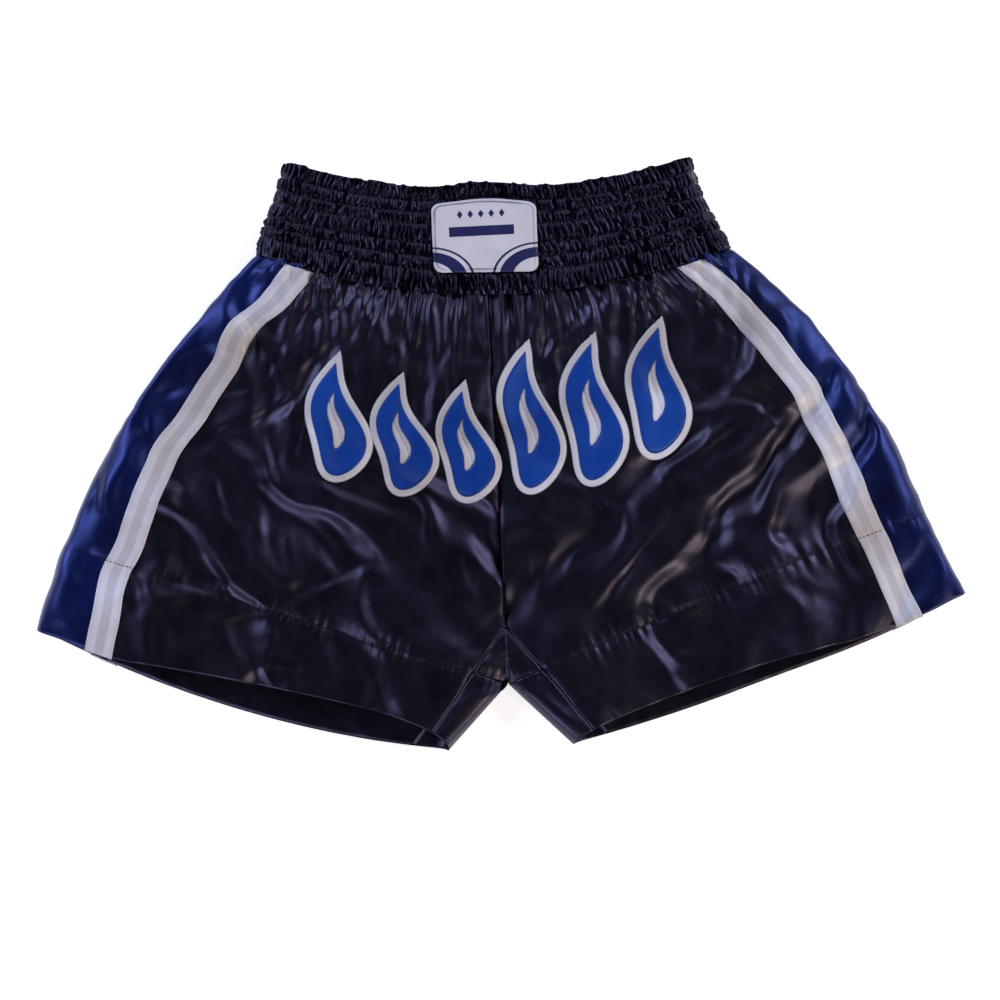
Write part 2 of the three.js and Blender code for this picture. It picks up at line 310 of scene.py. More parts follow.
def simulate_front():
    left, right, index_left, index_right = front_layout()
    points = np.concatenate([left.reshape(-1, 3), right.reshape(-1, 3)])
    both_u = np.concatenate([U.ravel(), -U.ravel()])
    both_v = np.concatenate([V.ravel(), V.ravel()])
    faces = np.concatenate([grid_faces(index_left), grid_faces(index_right)[:, ::-1]])
    used = np.unique(faces)
    number = np.full(len(points), -1)
    number[used] = np.arange(len(used))

    free = away_from_folds(points, both_u, both_v)
    along, down = points[:, 0] / MM, points[:, 1] / MM
    swell = noise_plane((along + 0.6 * down) / 34, (down - 0.4 * along) / 66, 14)
    low = points.copy()
    low[:, 2] += free * (4 * MM * swell - SINK)
    pillow = mesh_of("pillow", low[used] * CLOTH_SCALE, number[faces].tolist())
    pillow.modifiers.new("Collision", "COLLISION")
    pillow.collision.thickness_outer = 0.01
    pillow.collision.cloth_friction = 8

    fade = gather_fade(points)
    wave = np.sin(along / 2.3 + 3.2 * noise_line(along / 23, 11))
    slanted = noise_plane((along + 0.5 * down) / 40, (down - 0.4 * along) / 75, 12)
    rise = 2.4 * fade * wave + 4.2 * slanted + 1.9 * noise_plane(along / 17, down / 31, 13)
    start = points.copy()
    start[:, 2] += rise * MM * free
    cut = cut_shape(points)

    cloth = mesh_of("front_cloth", start[used] * CLOTH_SCALE, number[faces].tolist())
    cloth.shape_key_add(name="laid")
    key = cloth.shape_key_add(name="cut")
    key.data.foreach_set("co", (cut[used] * CLOTH_SCALE).ravel())
    pins = cloth.vertex_groups.new(name="pins")
    hem_row = (both_v > 0.999) & (abs(both_u) < 0.999)
    inseam_row = (both_v > HEM_SHARE - 1e-6) & (abs(both_u) < 1e-6)
    weight = np.zeros(len(points))
    weight[hem_row] = 0.15
    weight[(both_v < 1e-6) | (abs(both_u) > 0.999) | inseam_row] = 1
    for value in (0.15, 1):
        members = number[used[np.isclose(weight[used], value)]]
        pins.add(members.tolist(), value, "REPLACE")
    settings = cloth.modifiers.new("Cloth", "CLOTH").settings
    settings.rest_shape_key = key
    settings.vertex_group_mass = "pins"
    settings.quality = 5
    settings.mass = 0.06
    settings.air_damping = 3
    settings.tension_stiffness = settings.compression_stiffness = 22
    settings.shear_stiffness = 9
    settings.bending_stiffness = 5
    settings.pin_stiffness = 1
    collision = cloth.modifiers["Cloth"].collision_settings
    collision.collision_quality = 2
    collision.distance_min = 0.01
    collision.use_self_collision = False
    scene = bpy.context.scene
    scene.frame_start, scene.frame_end = 1, FRAMES
    cloth.modifiers["Cloth"].point_cache.frame_end = FRAMES
    for step in range(1, FRAMES + 1):
        scene.frame_set(step)
    result = cloth.evaluated_get(bpy.context.evaluated_depsgraph_get()).to_mesh()
    fallen = np.empty(len(result.vertices) * 3)
    result.vertices.foreach_get("co", fallen)
    points[used] = fallen.reshape(-1, 3) / CLOTH_SCALE
    for piece in (cloth, pillow):
        bpy.data.objects.remove(piece)
    scene.frame_set(1)
    return points[index_left], points[index_right]


front_left, front_right = simulate_front()
fallen_z = front_left[..., 2] / MM
print("heights of the fallen front in mm:", fallen_z.min().round(1), fallen_z.max().round(1))

# %% [markdown]
# The simulation is a coarse grid, so a smooth spline is drawn through it before any piece is cut
# from it. A cubic B-spline has no kinks, which matters here: satin shows the smallest kink as a
# bright line.


# %% A smooth surface through a grid
def spline_weights(f):
    middle = [3 * f**3 - 6 * f**2 + 4, -3 * f**3 + 3 * f**2 + 3 * f + 1]
    return np.stack([(1 - f) ** 3, *middle, f**3]) / 6


def padded_grid(grid):
    """The grid with two more straight-on rows and columns at each edge."""
    for axis in (0, 1):
        grid = np.moveaxis(grid, axis, 0)
        first, last = grid[0] - grid[1], grid[-1] - grid[-2]
        before = [grid[0] + k * first for k in (2, 1)]
        after = [grid[-1] + k * last for k in (1, 2)]
        grid = np.moveaxis(np.concatenate([before, grid, after]), 0, axis)
    return grid


def spline_at(grid, u, v):
    """Points of the surface; grid is already padded."""
    x = np.clip(np.asarray(u) * COLUMNS, -1, COLUMNS + 0.999)
    y = np.clip(np.asarray(v) * ROWS, -1, ROWS + 0.999)
    cx, cy = np.floor(x).astype(int), np.floor(y).astype(int)
    wx, wy = spline_weights(x - cx), spline_weights(y - cy)
    total = 0
    for i in range(4):
        for j in range(4):
            total = total + (wy[i] * wx[j])[..., None] * grid[cy + i + 1, cx + j + 1]
    return total


# %% [markdown]
# Satin on a table also lies in folds that are finer than the simulation can carry. They are added
# by a formula. Gathers follow the lines of equal u, so they fan out from the waist, and each ends
# at its own depth. Below them lie long folds that cross at a slant: each comes from smooth noise
# that is stretched along the fold, and a crest runs where the noise crosses zero. Along the hem's
# stitching the thread draws up short puckers.

# %% Folds, gathers and puckers
SEAM_HALF = 170  # mm, half of the waist seam
GATHER_PITCH = 6.2  # mm
FOLD_PITCH = 15.5
PUCKER_PITCH = 7.5
SLANTED_FOLDS = [  # slant, distance across and length in mm, height in mm, share of crest
    (0.55, 21, 100, 6.0, 0.35),
    (-0.42, 16, 70, 3.2, 0.35),
    (0.95, 32, 120, 6.0, 0.2),
    (0.2, 10, 45, 1.1, 0.5),
]
MOST_FOLD = 7


def crested(value, share):
    """Smooth noise from -1 to 1, partly turned into narrow crests where it crosses zero."""
    crest = 1 - 2 * np.sqrt(value * value + 0.012)
    return (1 - share) * value + share * crest


def satin_relief(points, u, sign):
    """Extra height of the satin at a place on the floor, for u measured from the centre."""
    x, y = points[..., 0] / MM, points[..., 1] / MM
    across = sign * u * SEAM_HALF
    below = (SEAM_Y / MM - y) + (x / (SEAM_END[0] / MM)) ** 2 * SEAM_SAG / MM
    deep = np.clip(below, 0, 400)
    bend_x = across + 16 * noise_plane(x / 58, y / 58, 21) + 5 * noise_plane(x / 21, y / 21, 31)
    bend_y = deep + 26 * noise_plane(x / 62, y / 62, 22)
    height = 0
    for number, (slant, width, length, size, crest) in enumerate(SLANTED_FOLDS):
        place = (bend_x + slant * sign * bend_y) / width
        noise = noise_plane(place, (bend_y - 0.3 * slant * sign * bend_x) / length, 23 + number)
        height = height + size * crested(noise, crest)
    height = MOST_FOLD * np.tanh(height / MOST_FOLD) * (1 - 0.75 * np.exp(-deep / 30))
    pleat = np.sin(2 * np.pi * (across / GATHER_PITCH + 1.1 * noise_line(across / 15, 27)))
    reach = 8 + 6 * (1 + noise_line(across / 6.1, 28))
    height = height + 1.2 * pleat * np.exp(-deep / reach)
    drift = 0.9 * noise_line(across / 27, 33) + 0.5 * noise_plane(across / 22, deep / 40, 34)
    fold = abs(np.sin(np.pi * (across / FOLD_PITCH + drift)))
    reach = 36 + 24 * noise_line(across / 11, 35)
    height = height + 2.2 * (fold - 0.6) * np.exp(-((deep / reach) ** 1.6))
    off_line = HEM_LINE[0] * (y - CROTCH[1] / MM) - HEM_LINE[1] * abs(x)
    height = height * (1 - 0.3 / (1 + np.exp(off_line / 4)))
    along = HEM_LINE[0] * abs(x) + HEM_LINE[1] * (y - CROTCH[1] / MM)
    along = along + 400 * (x < 0)
    pucker = np.sin(2 * np.pi * (along / PUCKER_PITCH + 0.9 * noise_line(along / 17, 29)))
    strength = 0.6 + 0.5 * noise_line(along / 21, 30)
    height = height + 0.8 * strength * pucker * np.exp(-((off_line / 8.5) ** 2))
    return (height - 0.6 * np.exp(-((off_line / 1.8) ** 2))) * MM


def back_grid(front, bow):
    """The back layer of one half: the same cloth pressed flat against the floor."""
    place = laid_out(U, V, bow)
    lie = fold_height(place, U, V, BACK_Z)
    lift = np.clip(front[..., 2] - fold_height(place, U, V, FRONT_Z), 0, 5 * MM)
    return np.dstack([place, lie + 0.3 * lift * away_from_folds(place, U, V)])


MIRROR = np.array([-1, 1, 1])
LAYERS = {
    ("left", "front"): padded_grid(front_left),
    ("right", "front"): padded_grid(front_right),
    ("left", "back"): padded_grid(back_grid(front_right * MIRROR, BACK_HEM_BOW)),
    ("right", "back"): padded_grid(back_grid(front_left * MIRROR, BACK_HEM_BOW + 6 * MM)) * MIRROR,
}


def slid_up(side, u, v):
    """v of the front, whose free hem has slid up a little between its folds and shows the back."""
    slide = (0.05 if side == "right" else 0.028) * np.sin(math.pi * np.clip(u / 0.8, 0, 1) ** 0.55)
    return v - slide * np.clip((v - HEM_SHARE) / (1 - HEM_SHARE), 0, 1)


def seam_grooves(u, v, layer):
    """How deep the cloth dips where two panels are sewn together, in metres."""
    foot = FRONT_GUSSET_FOOT if layer == "front" else BACK_GUSSET_FOOT
    seam = np.where(v > TIP_SHARE, gusset_seam(v, foot), 0)
    reach = abs(u - seam) * row_width(v) / (1.7 * MM)
    return 0.7 * MM * np.exp(-(reach**2))


def cloth_at(side, layer, u, v):
    """Points of one layer of one half, with all its small folds."""
    u, v = np.broadcast_arrays(np.asarray(u, float), np.asarray(v, float))
    sign = 1 if side == "left" else -1
    v = slid_up(side, u, v) if layer == "front" else v
    points = spline_at(LAYERS[side, layer], u, v).copy()
    still = away_from_folds(points, u, v)
    if layer == "front":
        points[..., 2] += satin_relief(points, u, sign) * still - seam_grooves(u, v, layer)
    else:
        points[..., 2] += 0.3 * abs(satin_relief(points * MIRROR, u, -sign)) * still
    wobble = 1.1 * noise_line(v * 17, 46 + sign) + 0.5 * noise_line(v * 41, 48 + sign)
    away_from_ends = np.clip(v * 12, 0, 1) * np.clip((1 - v) * 12, 0, 1)
    points[..., 0] += sign * MM * wobble * np.clip(u, 0, 1) ** 6 * away_from_ends
    return points


# %% [markdown]
# Every piece of cloth is a closed shell: its grid of points, the same grid pushed in by its
# thickness, and a rim round the edge. It keeps its own map, in metres along and across the cloth,
# so that a weave follows the threads however the piece folds.


# %% Closed shells of cloth
def normals_of(grid, closed=False):
    if closed:
        wrapped = np.concatenate([grid[:, -1:], grid, grid[:, :1]], axis=1)
        across = (wrapped[:, 2:] - wrapped[:, :-2]) / 2
    else:
        across = np.gradient(grid, axis=1)
    normal = np.cross(np.gradient(grid, axis=0), across)
    return normal / np.maximum(np.linalg.norm(normal, axis=-1, keepdims=True), 1e-12)


def shell(name, grid, thickness, material, lift=0.0, closed=False, inner=None):
    """A closed piece from a grid whose rows run down and columns across, seen from outside."""
    normal = normals_of(grid, closed)
    outer = grid + normal * lift
    inner = outer - normal * thickness if inner is None else inner
    rows, columns = outer.shape[:2]
    out = np.arange(rows * columns).reshape(rows, columns)
    if closed:
        out = np.concatenate([out, out[:, :1]], axis=1)
    back = out + rows * columns
    loop = [(out[0], back[0], 1), (out[-1], back[-1], -1)]
    if not closed:
        loop += [(out[:, -1], back[:, -1], 1), (out[:, 0], back[:, 0], -1)]
    rims = []
    for edge, under, sense in loop:
        quads = np.stack([edge[:-1], edge[1:], under[1:], under[:-1]], axis=-1)
        rims.append(quads[:, ::sense])
    faces = np.concatenate([grid_faces(out), grid_faces(back)[:, ::-1], *rims])
    mesh = bpy.data.meshes.new(name)
    points = np.concatenate([outer.reshape(-1, 3), inner.reshape(-1, 3)])
    mesh.vertices.add(len(points))
    mesh.vertices.foreach_set("co", points.ravel())
    mesh.loops.add(faces.size)
    mesh.loops.foreach_set("vertex_index", faces.ravel())
    mesh.polygons.add(len(faces))
    mesh.polygons.foreach_set("loop_start", np.arange(0, faces.size, 4))
    mesh.update(calc_edges=True)
    along = np.cumsum(np.linalg.norm(np.diff(grid, axis=0, prepend=grid[:1]), axis=-1), axis=0)
    across = np.cumsum(np.linalg.norm(np.diff(grid, axis=1, prepend=grid[:, :1]), axis=-1), axis=1)
    width_share = np.broadcast_to(np.linspace(0, 1, columns), (rows, columns))
    threads = np.tile(np.dstack([across, along]).reshape(-1, 2), (2, 1))
    stripe = np.tile(np.dstack([width_share, along]).reshape(-1, 2), (2, 1))
    for layer_name, values in (("threads", threads), ("stripe", stripe)):
        layer = mesh.uv_layers.new(name=layer_name)
        layer.data.foreach_set("uv", values[faces.ravel()].astype(np.float32).ravel())
    rim_faces = sum(len(rim) for rim in rims)
    mesh.polygons.foreach_set("use_smooth", np.arange(len(faces)) < len(faces) - rim_faces)
    mesh.materials.append(material)
    piece = bpy.data.objects.new(name, mesh)
    bpy.context.scene.collection.objects.link(piece)
    return piece

# %% [markdown]
# Satin is woven with long floats of bright thread, so it is smooth along them and throws a sharp,
# stretched highlight, while its colour stays dark between highlights. A Principled shader with a
# tinted specular, some anisotropy along the cloth's own map and a fine twill in its bump gives
# that. Noise on the object's coordinates varies the tone and the roughness, as handled satin
# does.


# %% Node helpers
def add_node(tree, kind, inputs=None, **settings):
    made = tree.nodes.new(kind)
    for name, value in settings.items():
        setattr(made, name, value)
    for name, value in (inputs or {}).items():
        made.inputs[name].default_value = value
    return made


def new_material(name):
    material = bpy.data.materials.new(name)
    material.use_nodes = True
    return material, material.node_tree, material.node_tree.nodes["Principled BSDF"]


def mix_colours(tree, share, dark, light):
    """A colour between two others, by a share from 0 to 1."""
    ramp = add_node(tree, "ShaderNodeValToRGB")
    ramp.color_ramp.elements[0].color = (*dark, 1)
    ramp.color_ramp.elements[1].color = (*light, 1)
    tree.links.new(share, ramp.inputs["Fac"])
    return ramp


def satin(name, dark, light, tint, roughness, specular):
    material, tree, shader = new_material(name)
    link = tree.links.new
    shader.inputs["Specular IOR Level"].default_value = specular
    shader.inputs["Specular Tint"].default_value = (*tint, 1)
    shader.inputs["Anisotropic"].default_value = 0.3
    threads = add_node(tree, "ShaderNodeUVMap", uv_map="threads")
    place = add_node(tree, "ShaderNodeTexCoord")
    tone = add_node(tree, "ShaderNodeTexNoise", {"Scale": 14.0, "Detail": 3.0, "Roughness": 0.55})
    link(place.outputs["Object"], tone.inputs["Vector"])
    colour = mix_colours(tree, tone.outputs["Fac"], dark, light)
    colour.color_ramp.elements[0].position = 0.35
    colour.color_ramp.elements[1].position = 0.68
    link(colour.outputs["Color"], shader.inputs["Base Color"])
    gloss = add_node(
        tree,
        "ShaderNodeMapRange",
        {"From Min": 0.3, "From Max": 0.7, "To Min": roughness - 0.05, "To Max": roughness + 0.07},
    )
    handled_look = {"Scale": 45.0, "Detail": 4.0, "Roughness": 0.6}
    handled = add_node(tree, "ShaderNodeTexNoise", handled_look)
    link(place.outputs["Object"], handled.inputs["Vector"])
    link(handled.outputs["Fac"], gloss.inputs["Value"])
    link(gloss.outputs["Result"], shader.inputs["Roughness"])
    twill_look = {"Scale": 420.0, "Distortion": 0.6, "Detail": 1.0}
    twill = add_node(tree, "ShaderNodeTexWave", twill_look, bands_direction="DIAGONAL")
    link(threads.outputs["UV"], twill.inputs["Vector"])
    weave = add_node(tree, "ShaderNodeBump", {"Strength": 0.2, "Distance": 0.0001})
    link(twill.outputs["Fac"], weave.inputs["Height"])
    rumple_look = {"Scale": 95.0, "Detail": 3.0, "Roughness": 0.5, "Distortion": 0.4}
    rumple = add_node(tree, "ShaderNodeTexNoise", rumple_look)
    link(place.outputs["Object"], rumple.inputs["Vector"])
    soft = add_node(tree, "ShaderNodeBump", {"Strength": 0.14, "Distance": 0.0012})
    link(rumple.outputs["Fac"], soft.inputs["Height"])
    link(weave.outputs["Normal"], soft.inputs["Normal"])
    link(soft.outputs["Normal"], shader.inputs["Normal"])
    return material


# %% The satins
SATINS = {  # darkest and lightest colour, tint of the highlights, roughness and specular level
    "black_satin": ((0.0008, 0.0008, 0.002), (0.002, 0.002, 0.006), (0.64, 0.61, 1.0), 0.38, 0.65),
    # The band's satin is the black satin with a slightly darker base colour, which is painted shade
    # for its deep pleats, and with a lower roughness and specular level.
    "band_satin_painted_shade": ((0.0006, 0.0006, 0.0016), (0.0016, 0.0016, 0.004), (0.6, 0.58, 1.0), 0.2, 0.28),
    "blue_satin": ((0.003, 0.002, 0.012), (0.002, 0.007, 0.06), (0.2, 0.3, 1.0), 0.36, 1.0),
    "royal_satin": ((0.004, 0.035, 0.23), (0.007, 0.06, 0.34), (0.6, 0.75, 1.0), 0.42, 0.3),
}
made = [satin(name, *look) for name, look in SATINS.items()]
BLACK_SATIN, BAND_SATIN_SHADED, BLUE_SATIN, ROYAL_SATIN = made
print("satins:", ", ".join(SATINS))

# %% [markdown]
# The tape is woven white satin with a slightly greyer stripe down its middle, between its two
# stitched edges. Its own map has the share of the width in it, so a colour ramp across it paints
# the stripe.


# %% Tape
def tape_material():
    cream, cool = (0.52, 0.49, 0.45), (0.78, 0.82, 0.87)
    material = satin("white_satin", cream, cool, (1, 1, 1), 0.36, 0.5)
    tree = material.node_tree
    shader = tree.nodes["Principled BSDF"]
    stripe = add_node(tree, "ShaderNodeUVMap", uv_map="stripe")
    across = add_node(tree, "ShaderNodeSeparateXYZ")
    tree.links.new(stripe.outputs["UV"], across.inputs["Vector"])
    bands = add_node(tree, "ShaderNodeValToRGB")
    steps = [(0.0, 0.86), (0.30, 0.95), (0.36, 0.74), (0.64, 0.74), (0.70, 0.95), (1.0, 0.86)]
    ramp = bands.color_ramp
    ramp.elements[0].position, ramp.elements[1].position = steps[0][0], steps[-1][0]
    for position, _ in steps[1:-1]:
        ramp.elements.new(position)
    for element, (_, grey) in zip(ramp.elements, steps):
        element.color = (grey, grey, grey * 1.03, 1)
    tree.links.new(across.outputs["X"], bands.inputs["Fac"])
    tinted = add_node(tree, "ShaderNodeMix", data_type="RGBA", blend_type="MULTIPLY")
    tinted.inputs["Factor"].default_value = 1
    tree.links.new(shader.inputs["Base Color"].links[0].from_socket, tinted.inputs["A"])
    tree.links.new(bands.outputs["Color"], tinted.inputs["B"])
    tree.links.new(tinted.outputs["Result"], shader.inputs["Base Color"])
    return material


WHITE_TAPE = tape_material()


def thread(name, colour):
    """Spun polyester thread: matt, with a fine twist."""
    material, tree, shader = new_material(name)
    place = add_node(tree, "ShaderNodeTexCoord")
    fibres = add_node(tree, "ShaderNodeTexNoise", {"Scale": 900.0, "Detail": 2.0})
    tree.links.new(place.outputs["Object"], fibres.inputs["Vector"])
    tones = mix_colours(tree, fibres.outputs["Fac"], [0.7 * c for c in colour], colour)
    tree.links.new(tones.outputs["Color"], shader.inputs["Base Color"])
    shader.inputs["Roughness"].default_value = 0.55
    shader.inputs["Specular IOR Level"].default_value = 0.2
    return material


BLACK_THREAD = thread("black_thread", (0.004, 0.004, 0.008))
WHITE_THREAD = thread("white_thread", (0.78, 0.79, 0.82))
NAVY_THREAD = thread("navy_thread", (0.004, 0.01, 0.06))

# %% [markdown]
# Each panel is cut from its layer between two lines that run from the waist to the hem. The
# panels reach 3 mm up inside the waistband, as a seam allowance does. On the right half the
# columns are turned round, so that every grid still runs from left to right when it is seen from
# outside.

# %% Where the panels meet
TAPE_WIDTH = 20 * MM
SEAM_ALLOWANCE = 0.009  # in v, about 3 mm
CLOTH = 0.5 * MM


def tape_line(v):
    """Distance of the tape's middle from the side fold."""
    share = np.where(v < HEM_SHARE, SIDE_SHARE * v / HEM_SHARE, v)
    return (32 + 16 * share) * MM


def tape_wander(side, layer, v):
    """The tape's small sideways waves; the right leg's front is the most crumpled."""
    size = 5.0 if (side, layer) == ("right", "front") else 1.3
    return size * MM * noise_line(v * 9.5, 41 + (side == "left")) * np.clip(v * 8, 0, 1)


def u_from_side(v, distance):
    return 1 - distance / row_width(v)


def tape_u(side, layer, v, offset=0.0):
    """u at the tape's middle, or at an offset from it towards the side fold."""
    return u_from_side(v, tape_line(v) + tape_wander(side, layer, v) - offset)


def between(side, layer, v, start_u, end_u, columns, bias=1.0):
    """A grid of the layer: one row for each v, its columns running from start_u to end_u."""
    share = np.linspace(0, 1, columns) ** bias
    u = start_u[:, None] + (end_u - start_u)[:, None] * share
    return cloth_at(side, layer, u, np.broadcast_to(v[:, None], u.shape))


def facing_out(grid, side, layer):
    """The grid with its columns from left to right as seen from outside."""
    return grid[:, ::-1] if (side == "left") != (layer == "front") else grid


def rows_between(start, end, count):
    """Rows that always include the top of the doubled hem."""
    if start < HEM_SHARE < end:
        upper = max(2, round(count * (HEM_SHARE - start) / (end - start)))
        above = np.linspace(start, HEM_SHARE, upper, endpoint=False)
        return np.concatenate([above, np.linspace(HEM_SHARE, end, count - upper)])
    return np.linspace(start, end, count)


# %% [markdown]
# A leg folds up about the line along the top of its hem. The pieces of the legs are left where they
# lie, with their transforms baked into their meshes, and nothing bends at that line.

# %% Baking in place
HIPS = "hips"


def bend_at_hem(piece):
    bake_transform(piece)


def cut_area(start_u, end_u, v):
    """Area of the cut of a panel between two lines, in square metres, found without its folds."""
    u = start_u[:, None] + (end_u - start_u)[:, None] * np.linspace(0, 1, 60)
    place = laid_out(u, np.broadcast_to(v[:, None], u.shape), FRONT_HEM_BOW)
    cut = cut_shape(np.dstack([place, np.zeros(u.shape)]))
    a, b = np.diff(cut, axis=0)[:, :-1], np.diff(cut, axis=1)[:-1]
    return float(np.linalg.norm(np.cross(a, b), axis=-1).sum())


# %% Front, back and side panels
panels = {}
SIDES = ("left", "right")
LAYER_NAMES = ("front", "back")
for side in SIDES:
    for layer, columns, rows in (("front", 150, 190), ("back", 84, 120)):
        v = rows_between(-SEAM_ALLOWANCE, 1, rows)
        foot = FRONT_GUSSET_FOOT if layer == "front" else BACK_GUSSET_FOOT
        inner = np.where(v > TIP_SHARE, gusset_seam(v, foot), 0)
        outer = tape_u(side, layer, v)
        grid = facing_out(between(side, layer, v, inner, outer, columns), side, layer)
        panels[layer, side] = shell(f"{layer}_panel_{side}", grid, CLOTH, BLACK_SATIN)
        cut_area(inner, outer, v)
    v = rows_between(-SEAM_ALLOWANCE, 1, 150)
    one = np.ones_like(v)
    front = between(side, "front", v, one, tape_u(side, "front", v), 26, 1.3)
    back = between(side, "back", v, one, tape_u(side, "back", v), 26, 1.3)
    grid = np.concatenate([front[:, ::-1], back[:, 1:]], axis=1)
    grid = grid if side == "left" else grid[:, ::-1]
    panels["side", side] = shell(f"side_panel_{side}", grid, CLOTH, BLUE_SATIN)
    sum(cut_area(tape_u(side, layer, v), one, v) for layer in LAYER_NAMES)

# %% [markdown]
# The gusset is the strip round each inseam. Above the hem line its front and back are flat kites
# that share the centre, and below it the strip turns round the inseam fold from front to back.

# %% Gusset
for side in SIDES:
    v = np.linspace(HEM_SHARE, 1, 44)
    front = between(side, "front", v, 0 * v, gusset_seam(v, FRONT_GUSSET_FOOT), 20, 1.3)
    back = between(side, "back", v, 0 * v, gusset_seam(v, BACK_GUSSET_FOOT), 20, 1.3)
    grid = np.concatenate([back[:, ::-1], front[:, 1:]], axis=1)
    grid = grid if side == "left" else grid[:, ::-1]
    panels["gusset", side] = shell(f"gusset_{side}", grid, CLOTH, BLACK_SATIN)
    feet = (FRONT_GUSSET_FOOT, BACK_GUSSET_FOOT)
    sum(cut_area(0 * v, gusset_seam(v, foot), v) for foot in feet)
for layer, foot in (("front", FRONT_GUSSET_FOOT), ("back", BACK_GUSSET_FOOT)):
    v = np.linspace(TIP_SHARE + 0.002, HEM_SHARE, 30)
    seam_u = gusset_seam(v, foot)
    left = between("left", layer, v, 0 * v, seam_u, 14)
    right = between("right", layer, v, 0 * v, seam_u, 14)
    grid = np.concatenate([right[:, ::-1], left[:, 1:]], axis=1)
    grid = grid if layer == "front" else grid[:, ::-1]
    panels["kite", layer] = shell(f"gusset_kite_{layer}", grid, CLOTH, BLACK_SATIN)
    2 * cut_area(0 * v, seam_u, v)

# %% [markdown]
# The four tapes lie over the seams between the side panels and the front and back. Each is a
# narrow shell a little above the cloth, and the hem's stitching crosses it.

# %% Tapes
tapes = {}
tape_edges = {}
for side in SIDES:
    for layer in LAYER_NAMES:
        v = rows_between(0.004, 1.003, 190)
        half = TAPE_WIDTH / 2
        inner, outer = tape_u(side, layer, v, -half), tape_u(side, layer, v, half)
        grid = facing_out(between(side, layer, v, inner, outer, 13), side, layer)
        name = f"{layer}_tape_{side}"
        tapes[layer, side] = shell(name, grid, CLOTH, WHITE_TAPE, lift=0.65 * MM)
        lifted = grid + normals_of(grid) * 0.7 * MM
        tape_edges[layer, side] = [lifted[4:-3, 1], lifted[4:-3, -2]]
steps = np.diff(tape_edges["front", "left"][0], axis=0)
print("tape length along the front, in mm:", round(np.linalg.norm(steps, axis=1).sum() / MM))

# %% [markdown]
# The waistband is a wide piece of satin sewn over five elastics and drawn in by them. Between two
# rows of stitching it stands up in narrow pleats, no two alike, and at each row it is pinched
# flat. Above the top elastic and below the lowest it ends in a free frill. The band is one long
# grid round the flattened loop, and a formula for the pleats pushes each point in or out.

# %% The band's rule
ROW_EDGES = np.cumsum([0, 16, 9.5, 9.5, 15.5, 11, 10, 11.5])  # mm above the waist seam
BAND_HEIGHT = ROW_EDGES[-1] * MM
BAND_THICKNESS = 25 * MM
SEAM_WIDTH = 341 * MM
TOP_WIDTH = 291 * MM
TOP_SAG = 22 * MM
END_TURN = math.radians(75)  # half the turn that each straight run takes
STRAIGHT = (SEAM_WIDTH - BAND_THICKNESS) / 2
ROUND_END = math.pi * BAND_THICKNESS / 2
PERIMETER = 4 * STRAIGHT + 2 * ROUND_END
PLEAT_PITCH = 4.5  # mm
LABEL_CENTRE = np.array([-3 * MM, SEAM_Y + 43 * MM])
LABEL_SIZE = np.array([75, 54]) * MM


def turn_at(distance):
    """The turn round the loop at a distance from the middle of the back, from -pi to pi."""
    stops = np.cumsum([0, STRAIGHT, ROUND_END, 2 * STRAIGHT, ROUND_END, STRAIGHT])
    turns = [-math.pi, -math.pi + END_TURN, -END_TURN, END_TURN, math.pi - END_TURN, math.pi]
    return np.interp(distance, stops, turns)


def band_point(turn, height, out):
    """A point of the band, pushed out from the flattened loop."""
    size = abs(turn)
    end = np.clip((size - END_TURN) / (math.pi - 2 * END_TURN), 0, 1) * math.pi
    along = np.minimum(np.minimum(size, math.pi - size), END_TURN) / END_TURN
    radius = BAND_THICKNESS / 2 + out
    x = np.sign(turn) * (STRAIGHT * along + radius * np.sin(end))
    share = height / BAND_HEIGHT
    across = x / (SEAM_WIDTH / 2)
    y = SEAM_Y + height + (SEAM_SAG + (TOP_SAG - SEAM_SAG) * share) * across**2
    x = across * (SEAM_WIDTH + (TOP_WIDTH - SEAM_WIDTH) * share) / 2
    return np.stack([x, y, radius * np.cos(end) + BAND_THICKNESS / 2], axis=-1)


def pleats(distance, height, seed=50):
    """How far the pleats stand out, in mm, at a distance round the band and a height in mm."""
    out = np.zeros(np.broadcast(distance, height).shape)
    s = distance / MM + 0 * height
    last = len(ROW_EDGES) - 2
    for row in range(last + 1):
        low, high = ROW_EDGES[row], ROW_EDGES[row + 1]
        inside = (height >= low) & (height <= high)
        f = np.clip((height - low) / (high - low), 0, 1)
        slant = 0.55 * noise_line(s / 13, seed + 10 + row) * (f - 0.5)
        phase = s / PLEAT_PITCH + noise_line(s / 11, seed + row)
        phase = phase + 0.3 * noise_line(s / 3.4, seed + 20 + row)
        slant = slant + 0.16 * np.sin(2 * math.pi * f + 5 * noise_line(s / 9, seed + 40 + row))
        ridge = 1 - abs(np.sin(math.pi * (phase + slant))) ** 0.8
        ridge = ridge * (0.8 + 0.35 * noise_line(s / 7, seed + 30 + row))
        arch = np.sin(math.pi * f) ** 0.4
        if row == last:
            arch = np.sin(math.pi / 2 * np.clip(f * 1.25, 0, 1)) ** 0.6
        if row == 0:
            arch = np.maximum(arch, 0.75 * (f < 0.5))
        high_ridge = 3.3 if row in (0, last) else 2.9
        at_thread = 0.4 * (ridge - 0.4) - 0.75  # pinched in, with a trace of the pleat
        bulge = arch * (0.3 + high_ridge * (ridge - 0.4)) + (1 - arch) * at_thread
        out = np.where(inside, bulge, out)
    return out


def casing_grid(columns, rows_each):
    """Rows from the top edge down to the seam, closer together next to each row of stitching."""
    heights = []
    for low, high, rows in zip(ROW_EDGES[:-1], ROW_EDGES[1:], rows_each):
        share = (1 - np.cos(np.linspace(0, math.pi, rows, endpoint=False))) / 2
        heights += list(low + (high - low) * share)
    heights = np.array([*heights, ROW_EDGES[-1]])[::-1]
    distance = np.arange(columns) * PERIMETER / columns
    return np.meshgrid(distance, heights)


